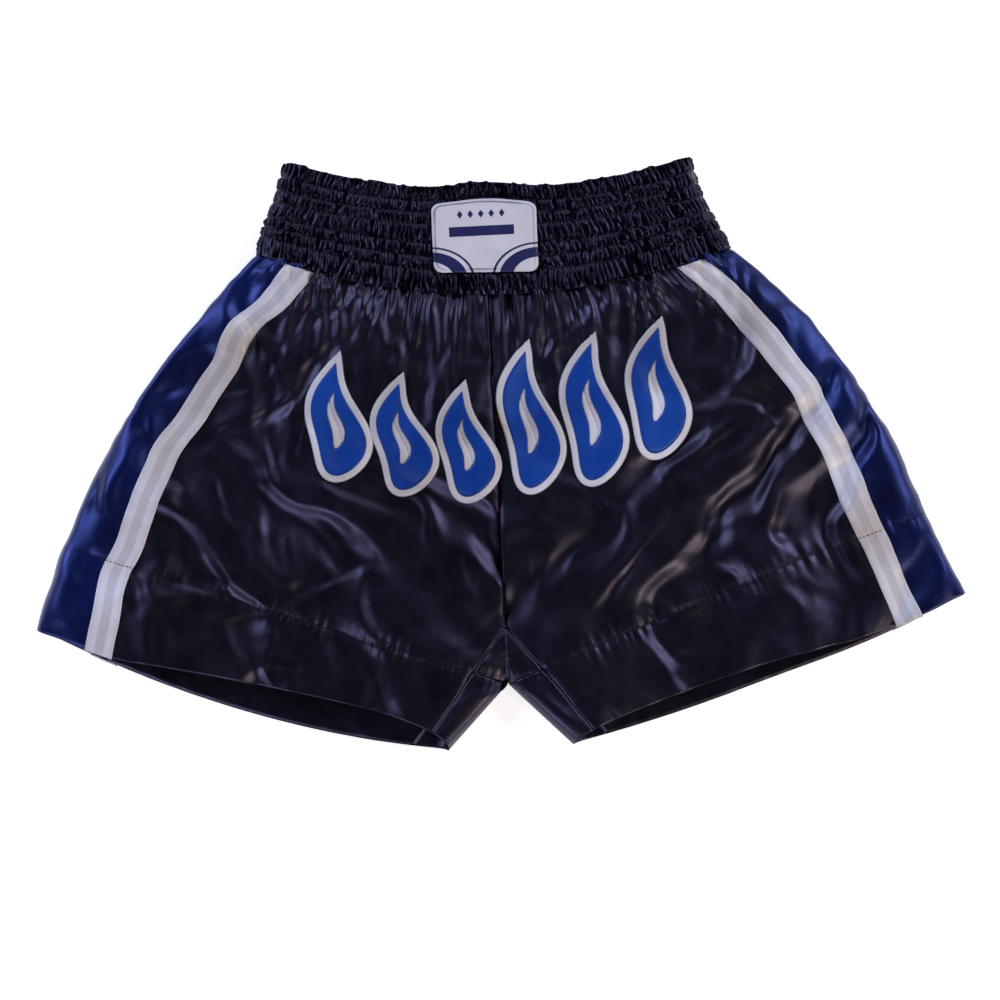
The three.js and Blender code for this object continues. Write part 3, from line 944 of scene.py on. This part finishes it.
def pressed(turn, out):
    """The pleats of the back run are pressed flat, so that they stay above the floor."""
    behind = np.clip(-np.cos(turn) * 4, 0, 1)
    return out * (1 - 0.45 * behind) - 0.9 * behind


# %% Casing
S, H = casing_grid(1000, (8, 6, 6, 8, 7, 6, 7))
turn = turn_at(S)
out = pleats(S, H)
middle = band_point(turn, H * MM, 0)
gap = np.max(abs(middle[..., :2] - LABEL_CENTRE) - LABEL_SIZE / 2, axis=-1) / MM
under_label = np.clip(1 - (gap + 0.5) / 2.5, 0, 1) * (middle[..., 2] > 20 * MM)
out = out * (1 - 0.75 * under_label) - 0.3 * under_label
frill = np.clip((H - ROW_EDGES[-2]) / (ROW_EDGES[-1] - ROW_EDGES[-2]), 0, 1)
scallop = frill * (0.9 * noise_line(S / MM / 4.6, 81) + 0.6 * noise_line(S / MM / 17, 82))
outer = band_point(turn, (H + scallop) * MM, pressed(turn, out) * MM)
outer[..., 2] = np.maximum(outer[..., 2], 0.2 * MM)
hidden = band_point(turn, (H + scallop) * MM, -1.75 * MM + 0 * out)
casing = shell("waistband_casing_satin", outer, 0, BAND_SATIN_SHADED, closed=True, inner=hidden)
print("casing triangles:", 2 * len(casing.data.polygons))

# %% [markdown]
# Inside the band, a second layer of the same satin faces the body. It is cut to the same length
# as the casing and gathered by the same stitching, so it stands up in pleats of its own.

# %% Lining
S, H = casing_grid(800, (6, 5, 5, 6, 5, 5, 6))
turn = turn_at(S)[:, ::-1]
folds = 1.15 * pleats(S, H, seed=90)
facing = band_point(turn, H * MM, (-5.4 - folds) * MM)
facing_under = band_point(turn, H * MM, -3.7 * MM + 0 * folds)
lining = shell("waistband_lining_satin", facing, 0, BAND_SATIN_SHADED, closed=True, inner=facing_under)

# %% [markdown]
# The five elastics run between casing and lining, where nobody sees them. Each is a plain woven
# loop, with ribs across it from the rubber threads.


# %% Elastics
def elastic_material():
    material, tree, shader = new_material("elastic")
    threads = add_node(tree, "ShaderNodeUVMap", uv_map="threads")
    rib_look = {"Scale": 260.0, "Distortion": 0.3}
    ribs = add_node(tree, "ShaderNodeTexWave", rib_look, bands_direction="Y")
    tree.links.new(threads.outputs["UV"], ribs.inputs["Vector"])
    tones = mix_colours(tree, ribs.outputs["Fac"], (0.6, 0.58, 0.53), (0.82, 0.8, 0.75))
    tree.links.new(tones.outputs["Color"], shader.inputs["Base Color"])
    bump = add_node(tree, "ShaderNodeBump", {"Strength": 0.6, "Distance": 0.0003})
    tree.links.new(ribs.outputs["Fac"], bump.inputs["Height"])
    tree.links.new(bump.outputs["Normal"], shader.inputs["Normal"])
    shader.inputs["Roughness"].default_value = 0.8
    return material


ELASTIC = elastic_material()
elastics = []
for row in range(1, len(ROW_EDGES) - 2):
    heights = np.linspace(ROW_EDGES[row + 1] - 1, ROW_EDGES[row] + 1, 4)
    S, H = np.meshgrid(np.arange(180) * PERIMETER / 180, heights)
    loop = band_point(turn_at(S), H * MM, -2.25 * MM + 0 * S)
    inside = band_point(turn_at(S), H * MM, -3.2 * MM + 0 * S)
    elastics.append(shell(f"elastic_loop_{row}", loop, 0, ELASTIC, closed=True, inner=inside))
print("elastics:", len(elastics))

# %% [markdown]
# The label and the flames are sewn onto the cloth, and cloth under them lies flatter. The flames'
# height is read from the panels below with a ray, raised over the nearest ridges and then smoothed,
# as a stiff patch does.


# %% A height field over the front
def height_field(objects, low, high, step):
    """Highest surface over a rectangle, as a grid of heights."""
    points, faces, count = [], [], 0
    for piece in objects:
        mesh = piece.data
        co = np.empty(len(mesh.vertices) * 3)
        mesh.vertices.foreach_get("co", co)
        corners = np.empty(len(mesh.polygons) * 4, int)
        mesh.polygons.foreach_get("vertices", corners)
        points.append(co.reshape(-1, 3))
        faces.append(corners.reshape(-1, 4) + count)
        count += len(mesh.vertices)
    tree = BVHTree.FromPolygons(np.concatenate(points).tolist(), np.concatenate(faces).tolist())
    xs, ys = np.arange(low[0], high[0], step), np.arange(low[1], high[1], step)
    field = np.zeros((len(ys), len(xs)))
    for i, y in enumerate(ys):
        for j, x in enumerate(xs):
            hit = tree.ray_cast((x, y, 0.1), (0, 0, -1))[0]
            field[i, j] = hit.z if hit else FRONT_Z
    return xs, ys, field


def around(field, reach):
    """The field shifted by every step up to a reach."""
    padded = np.pad(field, reach, mode="edge")
    rows, columns = field.shape
    spots = range(2 * reach + 1)
    return np.stack([padded[i : i + rows, j : j + columns] for i in spots for j in spots])


def stiffened(field, reach, blur):
    raised = around(field, reach).max(0)
    for _ in range(blur):
        raised = around(raised, 1).mean(0)
    return np.maximum(raised, field)


def read_field(xs, ys, field, x, y):
    fx = np.clip((x - xs[0]) / (xs[1] - xs[0]), 0, len(xs) - 1.001)
    fy = np.clip((y - ys[0]) / (ys[1] - ys[0]), 0, len(ys) - 1.001)
    i, j = fy.astype(int), fx.astype(int)
    a, b = fx - j, fy - i
    low = field[i, j] * (1 - a) + field[i, j + 1] * a
    high = field[i + 1, j] * (1 - a) + field[i + 1, j + 1] * a
    return low * (1 - b) + high * b


FIELD_STEP = 2 * MM
reach_low = np.array([-160 * MM, SEAM_Y - 175 * MM])
reach_high = np.array([160 * MM, SEAM_Y - 15 * MM])
front_objects = [panels["front", side] for side in SIDES]
xs, ys, front_field = height_field(front_objects, reach_low, reach_high, FIELD_STEP)
patch_field = stiffened(front_field, 1, 3)
heights = front_field / MM
print("front heights under the flames in mm:", heights.min().round(1), heights.max().round(1))

# %% [markdown]
# Six flames stand in a row across the front. Each has a round foot, a pointed tip and a spine
# that sways. Its white backing shows as a border round the blue face, and as a slot in the middle
# of it. A grid of rings between two outlines gives a shell that can follow the cloth.

# %% Flame outlines
FLAMES = [  # centre from the waist seam, width, height and sway, in mm
    (-115, -85, 35, 78, 5),
    (-68, -99, 33, 75, 6),
    (-22, -106, 32, 75, 5),
    (24, -90, 33, 99, 6),
    (69, -86, 34, 100, 6),
    (115, -72, 35, 94, 5),
]
FLAME_BELLY = 0.34  # share of the height at which a flame is widest
BORDER = 4.5
SLOT_WIDTH, SLOT_HEIGHT = 0.26, 0.5  # shares of the face


def flame_outline(width, height, sway, steps=44):
    """Points anticlockwise round a flame from its foot, in mm from its centre."""
    v = 1 - np.cos(np.linspace(0, math.pi / 2, steps + 1))
    low = np.sqrt(np.clip(1 - (1 - v / FLAME_BELLY) ** 2, 0, 1))
    high = np.cos((v - FLAME_BELLY) / (1 - FLAME_BELLY) * math.pi / 2)
    swell = np.where(v < FLAME_BELLY, low, np.clip(high, 0, 1))
    spine = sway * np.sin(2 * math.pi * v)
    y = height * (v - 0.5)
    right = np.stack([spine + width / 2 * swell, y], axis=-1)
    left = np.stack([spine - width / 2 * swell, y], axis=-1)
    return np.concatenate([right[:-1], left[:0:-1]])


def outset(points, border):
    before, after = np.roll(points, 1, axis=0), np.roll(points, -1, axis=0)
    first, second = points - before, after - points
    first /= np.linalg.norm(first, axis=1, keepdims=True)
    second /= np.linalg.norm(second, axis=1, keepdims=True)
    normal = np.stack([(first + second)[:, 1], -(first + second)[:, 0]], axis=-1)
    normal /= np.linalg.norm(normal, axis=1, keepdims=True)
    reach = 1 / np.clip((normal * np.stack([first[:, 1], -first[:, 0]], axis=-1)).sum(1), 0.5, 1)
    return points + normal * border * reach[:, None]


def patch(name, inner, outer, lift, material, rings=9):
    """A ring-shaped piece that lies on the front between two outlines, given in metres."""
    share = np.linspace(1, 0, rings)[:, None, None]
    flat = inner + (outer - inner) * share
    z = read_field(xs, ys, patch_field, flat[..., 0], flat[..., 1]) + lift
    edge = np.clip((share[..., 0] - 0.86) / 0.14, 0, 1) ** 2
    z = z - 0.25 * MM * edge
    return shell(name, np.dstack([flat, z]), 0.45 * MM, material, closed=True)


# %% Flames
flames = []
flame_seams = {"face": [], "backing": [], "slot": []}
for number, (x, y, width, height, sway) in enumerate(FLAMES, 1):
    centre = np.array([x * MM, SEAM_Y + y * MM])
    face = centre + flame_outline(width, height, sway) * MM
    slot_size = (width * SLOT_WIDTH, height * SLOT_HEIGHT, sway * SLOT_HEIGHT)
    slot = centre + flame_outline(*slot_size) * MM
    spine = centre + flame_outline(0.02, height * 0.9, sway * 0.9) * MM
    rim = centre + outset(flame_outline(width, height, sway), BORDER) * MM
    backing = patch(f"flame_backing_patch_{number}", spine, rim, 0.55 * MM, WHITE_TAPE)
    top = patch(f"flame_face_patch_{number}", slot, face, 1.05 * MM, ROYAL_SATIN)
    flames.append((backing, top))
    for kind, line, inset in (("face", face, -0.9), ("slot", slot, 0.8), ("backing", rim, -0.8)):
        line = centre + outset((line - centre) / MM, inset) * MM
        z = read_field(xs, ys, patch_field, line[:, 0], line[:, 1])
        z = z + (1.15 if kind != "backing" else 0.62) * MM
        flame_seams[kind].append(np.column_stack([line, z]))
print("flames:", len(flames))

# %% [markdown]
# The label is a silvery woven patch with rounded corners and a dark stitched edge. It carries a
# plain pattern only: a row of diamonds, a wide bar and dark curves at its lower corners, all from
# the shader.


# %% Label
def rounded_rectangle(width, height, corner, steps=8):
    turns = np.concatenate([np.linspace(k, k + 1, steps) for k in range(4)]) * math.pi / 2
    quarter = np.repeat(np.arange(4), steps)
    sx, sy = np.array([1, -1, -1, 1])[quarter], np.array([1, 1, -1, -1])[quarter]
    x = sx * (width / 2 - corner) + corner * np.cos(turns)
    y = sy * (height / 2 - corner) + corner * np.sin(turns)
    return np.stack([x, y], axis=-1)


def dense(outline, step):
    """The closed outline with points a step apart."""
    closed = np.concatenate([outline, outline[:1]])
    distance = np.concatenate([[0], np.cumsum(np.linalg.norm(np.diff(closed, axis=0), axis=1))])
    spots = np.arange(0, distance[-1], step)
    return np.stack([np.interp(spots, distance, closed[:, k]) for k in (0, 1)], axis=-1)


def label_material():
    material, tree, shader = new_material("label")
    link = tree.links.new
    place = add_node(tree, "ShaderNodeTexCoord")
    local = add_node(tree, "ShaderNodeMapping", vector_type="TEXTURE")
    local.inputs["Location"].default_value = (*LABEL_CENTRE, 0)
    local.inputs["Scale"].default_value = (LABEL_SIZE[0] / 2, LABEL_SIZE[1] / 2, 1)
    link(place.outputs["Object"], local.inputs["Vector"])
    axes = add_node(tree, "ShaderNodeSeparateXYZ")
    link(local.outputs["Vector"], axes.inputs["Vector"])

    def maths(operation, a, b=0.0):
        made = add_node(tree, "ShaderNodeMath", operation=operation)
        for slot_number, value in enumerate((a, b)):
            if isinstance(value, (int, float)):
                made.inputs[slot_number].default_value = value
            else:
                link(value, made.inputs[slot_number])
        return made.outputs[0]

    x, y = axes.outputs["X"], axes.outputs["Y"]
    side = maths("ABSOLUTE", x)

    def near(value, middle, reach):
        """1 where the value is within a reach of the middle."""
        return maths("LESS_THAN", maths("ABSOLUTE", maths("SUBTRACT", value, middle)), reach)

    bar = maths("MULTIPLY", near(y, 0.1, 0.13), maths("LESS_THAN", side, 0.62))
    cell = maths("SUBTRACT", maths("FRACT", maths("ADD", maths("MULTIPLY", x, 5), 0.5)), 0.5)
    above = maths("MULTIPLY", maths("SUBTRACT", y, 0.55), 2.6)
    diamond = maths("ADD", maths("ABSOLUTE", cell), maths("ABSOLUTE", above))
    diamonds = maths("MULTIPLY", maths("LESS_THAN", diamond, 0.28), maths("LESS_THAN", side, 0.5))
    reach_x, reach_y = maths("SUBTRACT", side, 1.05), maths("ADD", y, 1.15)
    radius = maths("SQRT", maths("ADD", maths("POWER", reach_x, 2), maths("POWER", reach_y, 2)))
    curves = maths("MAXIMUM", near(radius, 0.62, 0.13), near(radius, 0.86, 0.025))
    marks = maths("MAXIMUM", maths("MAXIMUM", bar, diamonds), curves)
    cloth_tone = add_node(tree, "ShaderNodeTexNoise", {"Scale": 60.0, "Detail": 3.0})
    link(place.outputs["Object"], cloth_tone.inputs["Vector"])
    silver = mix_colours(tree, cloth_tone.outputs["Fac"], (0.55, 0.56, 0.6), (0.74, 0.75, 0.79))
    mixed = add_node(tree, "ShaderNodeMix", data_type="RGBA")
    mixed.inputs["B"].default_value = (0.01, 0.015, 0.09, 1)
    link(marks, mixed.inputs["Factor"])
    link(silver.outputs["Color"], mixed.inputs["A"])
    link(mixed.outputs["Result"], shader.inputs["Base Color"])
    weave = add_node(tree, "ShaderNodeTexWave", {"Scale": 500.0, "Distortion": 0.4})
    link(place.outputs["Object"], weave.inputs["Vector"])
    bump = add_node(tree, "ShaderNodeBump", {"Strength": 0.3, "Distance": 0.0002})
    link(weave.outputs["Fac"], bump.inputs["Height"])
    link(bump.outputs["Normal"], shader.inputs["Normal"])
    shader.inputs["Roughness"].default_value = 0.38
    shader.inputs["Specular IOR Level"].default_value = 0.6
    return material


LABEL_Z = BAND_THICKNESS + 1.5 * MM
rim = LABEL_CENTRE + dense(rounded_rectangle(*LABEL_SIZE, 6 * MM), 1.5 * MM)
core = LABEL_CENTRE + (rim - LABEL_CENTRE) * 0.02
share = np.linspace(1, 0, 26)[:, None, None]
flat = core + (rim - core) * share
across, down = flat[..., 0] / MM, flat[..., 1] / MM
ripple = 0.35 * noise_plane(across / 9, down / 26, 61)
ripple = ripple + 0.25 * noise_plane(across / 30, down / 30, 62)
grid = np.dstack([flat, LABEL_Z + ripple * MM - 0.5 * MM * share[..., 0] ** 10])
label = shell("label_patch", grid, 0.5 * MM, label_material(), closed=True)
stitch_rim = LABEL_CENTRE + (rim - LABEL_CENTRE) * (1 - 2.2 * MM / (LABEL_SIZE / 2))
label_seam = np.column_stack([stitch_rim, np.full(len(stitch_rim), LABEL_Z + 0.2 * MM)])

# %% [markdown]
# Stitches repeat thousands of times, so Geometry Nodes lays them: a seam is a curve, it is cut into
# equal steps, and a small ellipsoid of thread is turned along the curve at each. The tree ends in
# Realize Instances and Set Material, and each result is turned into a plain mesh.


# %% A tree for stitches
def stitch_tree():
    tree = bpy.data.node_groups.new("stitches", "GeometryNodeTree")
    tree.interface.new_socket("Geometry", in_out="INPUT", socket_type="NodeSocketGeometry")
    for name, socket, value in (
        ("Pitch", "NodeSocketFloat", 3 * MM),
        ("Length", "NodeSocketFloat", 2 * MM),
        ("Width", "NodeSocketFloat", 0.5 * MM),
        ("Lean", "NodeSocketFloat", 0.0),
        ("Thread", "NodeSocketMaterial", None),
    ):
        made = tree.interface.new_socket(name, in_out="INPUT", socket_type=socket)
        if value is not None:
            made.default_value = value
    tree.interface.new_socket("Geometry", in_out="OUTPUT", socket_type="NodeSocketGeometry")
    link = tree.links.new
    given = add_node(tree, "NodeGroupInput")
    curve = add_node(tree, "GeometryNodeMeshToCurve")
    points = add_node(tree, "GeometryNodeCurveToPoints", mode="LENGTH")
    link(given.outputs["Geometry"], curve.inputs["Mesh"])
    link(curve.outputs["Curve"], points.inputs["Curve"])
    link(given.outputs["Pitch"], points.inputs["Length"])
    turned = add_node(tree, "FunctionNodeAlignRotationToVector", axis="X")
    link(points.outputs["Tangent"], turned.inputs["Vector"])
    ball = add_node(tree, "GeometryNodeMeshUVSphere", {"Segments": 6, "Rings": 4, "Radius": 0.5})
    size = add_node(tree, "ShaderNodeCombineXYZ")
    link(given.outputs["Length"], size.inputs["X"])
    link(given.outputs["Width"], size.inputs["Y"])
    link(given.outputs["Width"], size.inputs["Z"])
    lean = add_node(tree, "ShaderNodeCombineXYZ")
    link(given.outputs["Lean"], lean.inputs["Z"])
    shaped = add_node(tree, "GeometryNodeTransform")
    link(ball.outputs["Mesh"], shaped.inputs["Geometry"])
    link(size.outputs["Vector"], shaped.inputs["Scale"])
    leaning = add_node(tree, "GeometryNodeTransform")
    link(shaped.outputs["Geometry"], leaning.inputs["Geometry"])
    link(lean.outputs["Vector"], leaning.inputs["Rotation"])
    copies = add_node(tree, "GeometryNodeInstanceOnPoints")
    link(points.outputs["Points"], copies.inputs["Points"])
    link(leaning.outputs["Geometry"], copies.inputs["Instance"])
    link(turned.outputs["Rotation"], copies.inputs["Rotation"])
    real = add_node(tree, "GeometryNodeRealizeInstances")
    link(copies.outputs["Instances"], real.inputs["Geometry"])
    painted = add_node(tree, "GeometryNodeSetMaterial")
    link(real.outputs["Geometry"], painted.inputs["Geometry"])
    link(given.outputs["Thread"], painted.inputs["Material"])
    result = add_node(tree, "NodeGroupOutput")
    link(painted.outputs["Geometry"], result.inputs["Geometry"])
    return tree


STITCHES = stitch_tree()


def stitch(name, lines, material, pitch, length, width, lean=0.0, closed=False):
    """One piece of thread along several lines of points."""
    points, edges = [], []
    for line in lines:
        first = len(points)
        points += np.asarray(line, float).tolist()
        edges += [(k, k + 1) for k in range(first, len(points) - 1)]
        edges += [(len(points) - 1, first)] if closed else []
    mesh = bpy.data.meshes.new(name)
    mesh.from_pydata(points, edges, [])
    path = bpy.data.objects.new(name, mesh)
    bpy.context.scene.collection.objects.link(path)
    modifier = path.modifiers.new("stitches", "NODES")
    modifier.node_group = STITCHES
    values = {
        "Pitch": pitch * MM,
        "Length": length * MM,
        "Width": width * MM,
        "Lean": math.radians(lean),
        "Thread": material,
    }
    for item in STITCHES.interface.items_tree:
        if item.in_out == "INPUT" and item.name in values:
            modifier[item.identifier] = values[item.name]
    depsgraph = bpy.context.evaluated_depsgraph_get()
    made = bpy.data.meshes.new_from_object(path.evaluated_get(depsgraph))
    bpy.data.objects.remove(path)
    made.name = name
    made.polygons.foreach_set("use_smooth", np.ones(len(made.polygons), bool))
    made.update()
    piece = bpy.data.objects.new(name, made)
    bpy.context.scene.collection.objects.link(piece)
    return piece


def seam_line(side, layer, u, v, lift):
    """Points a little outside a layer, along u and v given point by point."""
    points = cloth_at(side, layer, u, v)
    points[:, 2] += lift if layer == "front" else -lift
    return points


# %% [markdown]
# Thread shows in a few places: along the top of each doubled hem, round the gusset, along both
# edges of the tapes, round the flames and the label, and down the centre seam.

# %% Stitches
seams = {}
for side in SIDES:
    for layer in LAYER_NAMES:
        foot = FRONT_GUSSET_FOOT if layer == "front" else BACK_GUSSET_FOOT
        start = 0.02
        u = np.linspace(start, u_from_side(np.array(HEM_SHARE), 3 * MM), 260)
        v = np.full_like(u, HEM_SHARE)
        on_tape = abs(u - tape_u(side, layer, v)) * row_width(v) < TAPE_WIDTH / 2
        line = seam_line(side, layer, u, v, 0.05 * MM)
        line[on_tape, 2] += (0.75 if layer == "front" else -0.75) * MM
        hem = stitch(f"hem_stitches_{layer}_{side}", [line], BLACK_THREAD, 3.1, 2.5, 0.55)
        v = np.linspace(TIP_SHARE + 0.01, 0.995, 90)
        lines = [
            seam_line(side, layer, gusset_seam(v, foot) + gap * MM / row_width(v), v, 0.05 * MM)
            for gap in (1.6, 5.0)
        ]
        gusset = stitch(f"gusset_stitches_{layer}_{side}", lines, BLACK_THREAD, 3.0, 2.3, 0.45)
        edges = tape_edges[layer, side]
        tape = stitch(f"tape_stitches_{layer}_{side}", edges, WHITE_THREAD, 2.2, 1.7, 0.45)
        seams[layer, side] = (hem, gusset, tape)
v = np.linspace(0.01, TIP_SHARE, 150)
centre = [
    seam_line(side, layer, np.full_like(v, 1.3 * MM) / row_width(v), v, 0.05 * MM)
    for side in SIDES
    for layer in LAYER_NAMES
]
centre_seam = stitch("centre_seam_stitches", centre, BLACK_THREAD, 3.0, 2.3, 0.45)
flame_stitches = [
    stitch(f"flame_{place}_stitches", flame_seams[kind], colour, *sizes, closed=True)
    for place, kind, colour, sizes in (  # pitch, length and width in mm, lean in degrees
        ("edge", "backing", WHITE_THREAD, (1.5, 3.4, 0.75, 68)),
        ("face", "face", NAVY_THREAD, (2.2, 1.5, 0.65)),
        ("slot", "slot", NAVY_THREAD, (2.2, 1.5, 0.6)),
    )
]
label_stitches = stitch(
    "label_stitches", [label_seam], NAVY_THREAD, 1.5, 1.9, 0.7, lean=60, closed=True
)
hip_threads = (*flame_stitches, label_stitches, centre_seam)
print("thread triangles:", sum(len(piece.data.polygons) for piece in hip_threads) * 2)

# %% [markdown]
# The shorts were put down with the band turned a little against the legs. One turn about the
# middle of the waist seam, which fades out down the panels, moves every piece and its stitches
# together. The top of the band sags a little on both sides of the label, which holds it up, and
# the hem on +x lies a little lower.

# %% A slight skew
SKEW = math.radians(2.0)
SKEW_FADE = 120 * MM
WIDER = 8 * MM  # both side folds, just below the waist seam
NARROWER = 8 * MM  # the side fold on +x, towards its hem
BAND_SAG = 7.5 * MM  # top edge of the band
LABEL_HOLDS = 5.5 * MM  # how much of that sag the label takes away
LEFT_HEM_DROP = 6 * MM


def bump_at(height, middle, reach):
    """1 at a height above the waist seam, fading out over a reach; all in mm."""
    return np.exp(-(((height / MM - middle) / reach) ** 2))


def skewed(place):
    angle = -SKEW * smoothstep((place[:, 1] - SEAM_Y + SKEW_FADE) / SKEW_FADE)
    x, y = place[:, 0], place[:, 1] - SEAM_Y
    x = x + WIDER * bump_at(y, -15, 52) * np.clip(abs(x) / (140 * MM), 0, 1)
    x = x - NARROWER * bump_at(y, -178, 62) * np.clip(x / (250 * MM), 0, 1)
    sag = BAND_SAG - LABEL_HOLDS * np.exp(-((x / (32 * MM)) ** 2))
    y = y - sag * smoothstep((y - 40 * MM) / (43 * MM))
    lower = smoothstep((x - 170 * MM) / (130 * MM)) * smoothstep(-y / (190 * MM))
    y = y - LEFT_HEM_DROP * lower
    turned = [x * np.cos(angle) - y * np.sin(angle), x * np.sin(angle) + y * np.cos(angle)]
    return np.column_stack([turned[0], turned[1] + SEAM_Y, place[:, 2]])


for piece in set(bpy.context.scene.objects) - given:
    co = np.empty(len(piece.data.vertices) * 3)
    piece.data.vertices.foreach_get("co", co)
    piece.data.vertices.foreach_set("co", skewed(co.reshape(-1, 3)).ravel())
    piece.data.update()

# %% [markdown]
# Last, the pieces of the legs and their threads keep their places with their transforms baked in,
# the other pieces ride on the hips, and the CAD nodes that the pieces stand for are hidden. The
# area of each panel's cut comes from the uncut shape that the simulation started from, and not from
# its folds.

# %% Frame calls
for side in SIDES:
    for kind in ("front", "back", "side"):
        piece = panels[kind, side]
        bend_at_hem(piece)
        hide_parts(f"{kind}_panel_{side}_upper", f"{kind}_panel_{side}_hem")
    gusset = panels["gusset", side]
    bend_at_hem(gusset)
    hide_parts(f"gusset_{side}_hem")
    for layer in LAYER_NAMES:
        tape = tapes[layer, side]
        bend_at_hem(tape)
        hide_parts(f"{layer}_tape_{side}_upper", f"{layer}_tape_{side}_hem")
        hem, gusset_thread, tape_thread = seams[layer, side]
        for thread_piece in (hem, gusset_thread, tape_thread):
            bend_at_hem(thread_piece)
for layer in LAYER_NAMES:
    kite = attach(panels["kite", layer], HIPS)
    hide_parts(f"gusset_{layer}")
for piece, nodes, finish in (
    (casing, ["waistband_casing"], "black_satin"),
    (lining, ["waistband_lining"], "black_satin"),
    (label, ["label"], "label"),
    (label_stitches, [], "label"),
    (centre_seam, [], "black_satin"),
    *[(loop, [f"elastic_{k}"], "elastic") for k, loop in enumerate(elastics, 1)],
    *[(backing, [f"flame_backing_{k}"], "white_satin") for k, (backing, _) in enumerate(flames, 1)],
    *[(top, [f"flame_face_{k}"], "royal_satin") for k, (_, top) in enumerate(flames, 1)],
    *[(thread_piece, [], "royal_satin") for thread_piece in flame_stitches],
):
    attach(piece, HIPS)
    if nodes:
        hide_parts(*nodes)

# %% Sizes of the cut cloth, listed but not used
LENGTH_CUT = 0.345
CUTS = {
    "front": (0.31, LENGTH_CUT),
    "back": (0.31, LENGTH_CUT),
    "side": (0.105, LENGTH_CUT),
    "gusset": (0.11, 0.07),
}
for side in SIDES:
    for kind, flat in CUTS.items():
        piece = panels[kind, side]

# %% [markdown]
# The shorts lie on a plain white floor under soft studio lights. Black satin shows only what it
# reflects, so large lights stand round it at middle heights: the gathers and creases lean towards
# them and light up, while level cloth reflects the almost dark sky above and stays black.


# %% Floor and lights
def floor():
    made = mesh_of("floor", [(-4, -4, 0), (4, -4, 0), (4, 4, 0), (-4, 4, 0)], [(0, 1, 2, 3)])
    material, tree, shader = new_material("studio_floor")
    shader.inputs["Base Color"].default_value = (0.9, 0.9, 0.9, 1)
    shader.inputs["Roughness"].default_value = 0.9
    shader.inputs["Specular IOR Level"].default_value = 0.1
    shader.inputs["Emission Color"].default_value = (1, 1, 1, 1)
    shader.inputs["Emission Strength"].default_value = 0.62
    made.data.materials.append(material)
    return made


floor()
world = bpy.data.worlds.new("studio")
bpy.context.scene.world = world
world.use_nodes = True
world.node_tree.nodes["Background"].inputs["Color"].default_value = (0.93, 0.95, 1, 1)
world.node_tree.nodes["Background"].inputs["Strength"].default_value = 0.012
LIGHTS = [  # place, size, power, colour
    ((-1.9, 1.2, 1.3), (1.5, 1.0), 37, (0.7, 0.74, 1.0)),
    ((1.9, 1.0, 1.3), (1.3, 1.0), 33, (0.8, 0.8, 1.0)),
    ((0.1, 2.3, 1.2), (1.8, 0.6), 11, (0.86, 0.88, 1.0)),
    ((-1.3, -1.8, 1.2), (1.2, 0.8), 21, (0.8, 0.78, 1.0)),
    ((1.5, -1.5, 1.1), (0.9, 0.8), 25, (1.0, 0.8, 0.6)),
]
for number, (place, (width, height), power, colour) in enumerate(LIGHTS, 1):
    data = bpy.data.lights.new(f"soft_light_{number}", "AREA")
    data.shape = "RECTANGLE"
    data.size, data.size_y, data.energy, data.color = width, height, power, colour
    lamp = bpy.data.objects.new(data.name, data)
    lamp.location = place
    lamp.rotation_euler = (-Vector(place)).to_track_quat("-Z", "Y").to_euler()
    bpy.context.scene.collection.objects.link(lamp)

# %% [markdown]
# The camera looks straight down, a little turned, so that the shorts lie as they were found:
# rolled by a few degrees, with more floor below them than above.

# %% Camera
ROLL = math.radians(2.8)
FIELD = 0.72  # width of the view on the cloth
LENS = 85.0
SENSOR = 36.0
AIM = (0.0008, -0.0367)
camera_data = bpy.data.cameras.new("camera")
camera_data.lens, camera_data.sensor_width = LENS, SENSOR
camera = bpy.data.objects.new("camera", camera_data)
camera.location = (*AIM, MIDDLE_Z + FIELD * LENS / SENSOR)
camera.rotation_euler = (0, 0, -ROLL)
bpy.context.scene.collection.objects.link(camera)
bpy.context.scene.camera = camera
bpy.context.scene.view_settings.view_transform = "Standard"
